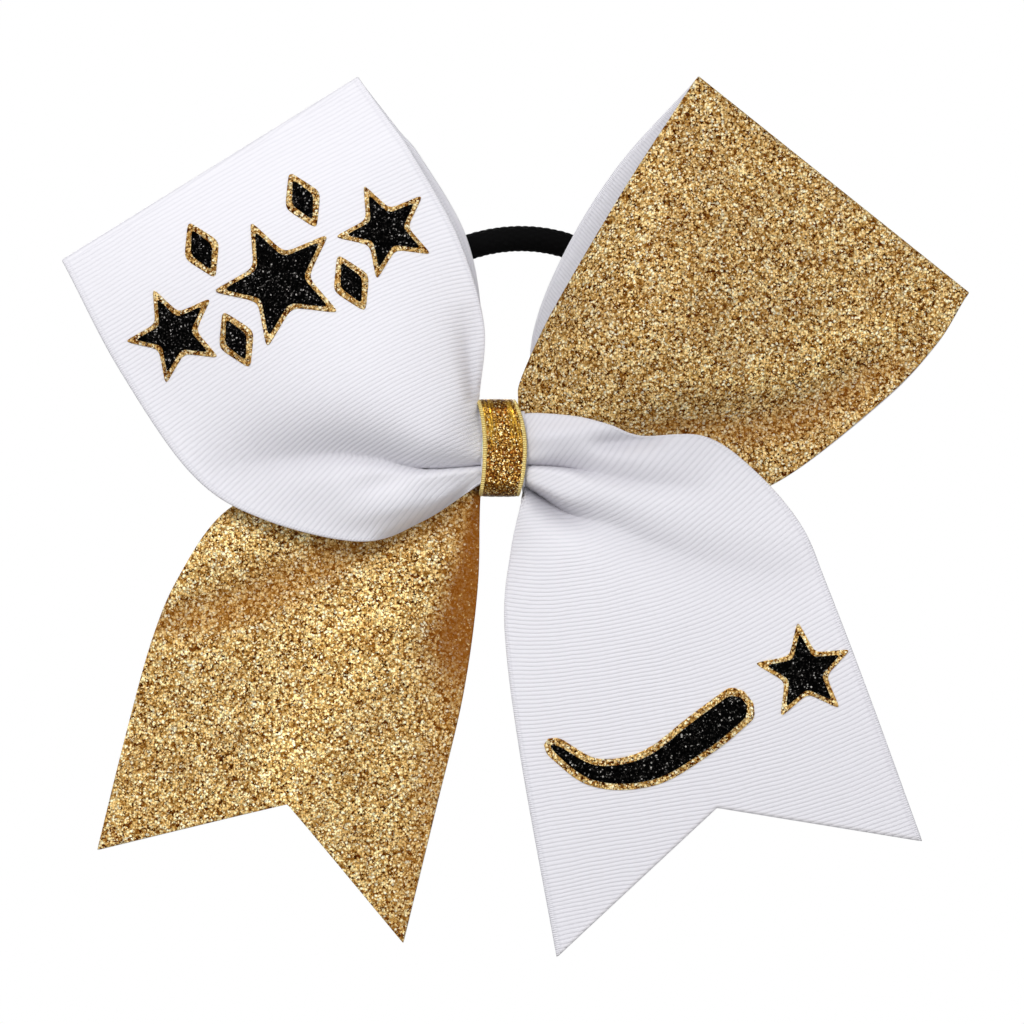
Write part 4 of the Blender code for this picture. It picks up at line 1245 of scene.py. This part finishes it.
def band_glitter(name):
    """Metallic centre ribbon: flakes on dark gold, bright threads along its upper half as a painted
    highlight, and pale woven edges.
    """
    shader = Shader(name, 0.3, 0.9)
    u, v = shader.strip()
    rest = shader.attribute("rest")
    cells, parts = shader.cells(rest, 1.0 / 0.25)
    colour = shader.ramp(parts["Red"], BAND_FLAKES)

    along = shader.node("ShaderNodeCombineXYZ", X=shader.times(u, 1.9), Y=shader.times(v, 0.10))
    along = along.outputs["Vector"]
    # Yellow thread streaks along the band: the threads are real, but they are painted only on the band's
    # upper half, as a painted highlight from above.
    lit_thread_streak = shader.noise(along, 1.0, 3.0, 0.6)
    lit_thread_streak = shader.times(shader.between(lit_thread_streak, 0.44, 0.54),
                          shader.between(shader.parts(rest)["Z"], -1.0, 4.0))
    off_middle = shader.math("ABSOLUTE", shader.math("SUBTRACT", u, 4.75))
    lit_thread_streak = shader.times(lit_thread_streak, shader.between(off_middle, 1.0, 2.0))
    colour = shader.mix(shader.times(lit_thread_streak, 0.62), colour, linear(226, 176, 60))
    dark = shader.noise(along, 2.3, 2.0)
    colour = shader.mix(shader.times(shader.between(dark, 0.55, 0.72), 0.45), colour,
                        linear(92, 46, 4))

    from_edge = shader.math("MINIMUM", u, shader.math("SUBTRACT", 9.5, u))
    selvedge = shader.between(from_edge, 0.95, 0.70)
    stitch = shader.wave(shader.times(v, pi / 0.45))
    pale = shader.mix(stitch, linear(206, 164, 70), linear(244, 224, 146))
    colour = shader.mix(selvedge, colour, pale)
    shader.link(colour, "Base Color")
    metal = shader.times_plus(selvedge, -0.7, 0.9)
    shader.link(metal, "Metallic")
    rough = shader.times_plus(parts["Green"], 0.25, 0.22)
    shader.link(rough, "Roughness")
    height = shader.math("ADD", shader.times(selvedge, stitch), shader.times(lit_thread_streak, 0.5))
    shader.link(shader.bump(height, 0.0002, 0.7, Normal=shader.tilted(cells["Color"], 0.45)), "Normal")
    return shader.material


BLACK_FLAKES = (
    (0.00, (0.0004, 0.0004, 0.0004)),
    (0.50, (0.0010, 0.0010, 0.0010)),
    (0.80, (0.0035, 0.0033, 0.0033)),
    (0.92, (0.018, 0.016, 0.015)),
    (0.97, (0.09, 0.085, 0.08)),
    (1.00, (0.45, 0.43, 0.41)),
)


def nylon(name):
    """Slightly cloudy nylon of the cinch tie, with fine lines drawn along it."""
    shader = Shader(name, 0.4)
    at = shader.node("ShaderNodeTexCoord").outputs["Object"]
    lines = shader.noise(shader.vector("MULTIPLY", at, (9000.0, 300.0, 300.0)), 1.0, 2.0)
    cloud = shader.noise(at, 500.0, 2.0)
    shader.link(shader.mix(cloud, (0.66, 0.66, 0.63), (0.80, 0.80, 0.77)), "Base Color")
    shader.link(shader.times_plus(lines, 0.3, 0.25), "Roughness")
    shader.link(shader.bump(lines, 0.00005, 0.5), "Normal")
    return shader.material


def hot_glue(name):
    """Set hot glue: milky, glossy and slightly lumpy."""
    shader = Shader(name, 0.25, Subsurface_Weight=0.3, Subsurface_Scale=0.002)
    at = shader.node("ShaderNodeTexCoord").outputs["Object"]
    lumps = shader.noise(at, 700.0, 2.0)
    shader.link(shader.mix(lumps, (0.74, 0.69, 0.54), (0.88, 0.85, 0.74)), "Base Color")
    shader.link(shader.times_plus(lumps, 0.2, 0.15), "Roughness")
    shader.link(shader.bump(lumps, 0.0002, 0.6), "Normal")
    return shader.material


def finish_inner_parts():
    """The nylon tie and the glue keep their CAD shapes and get their own finishes."""
    for names, look in ((("cinch_tie",), nylon("cinch_nylon")),
                        (("glue_bead_left", "glue_bead_right"), hot_glue("set_glue"))):
        for name in names:
            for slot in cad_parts[name].material_slots:
                slot.material = look


make_camera()
make_studio()
make_floor()
white = grosgrain("white_grosgrain")
gold = glitter("gold_glitter_film", GOLD_FLAKES, 0.48, 0.24, 0.12, 0.60, 0.0)
black = glitter("black_glitter_film", BLACK_FLAKES, 0.30, 0.8, 0.0, 0.5, 0.04, glints=0.955)
wings, carriers = build_wings(white, gold)
left_motifs, right_motifs = build_motifs(carriers, gold, black)
build_knot(white)
build_band(band_glitter("band_glitter"))
build_elastic(braid("elastic_braid"))
finish_inner_parts()
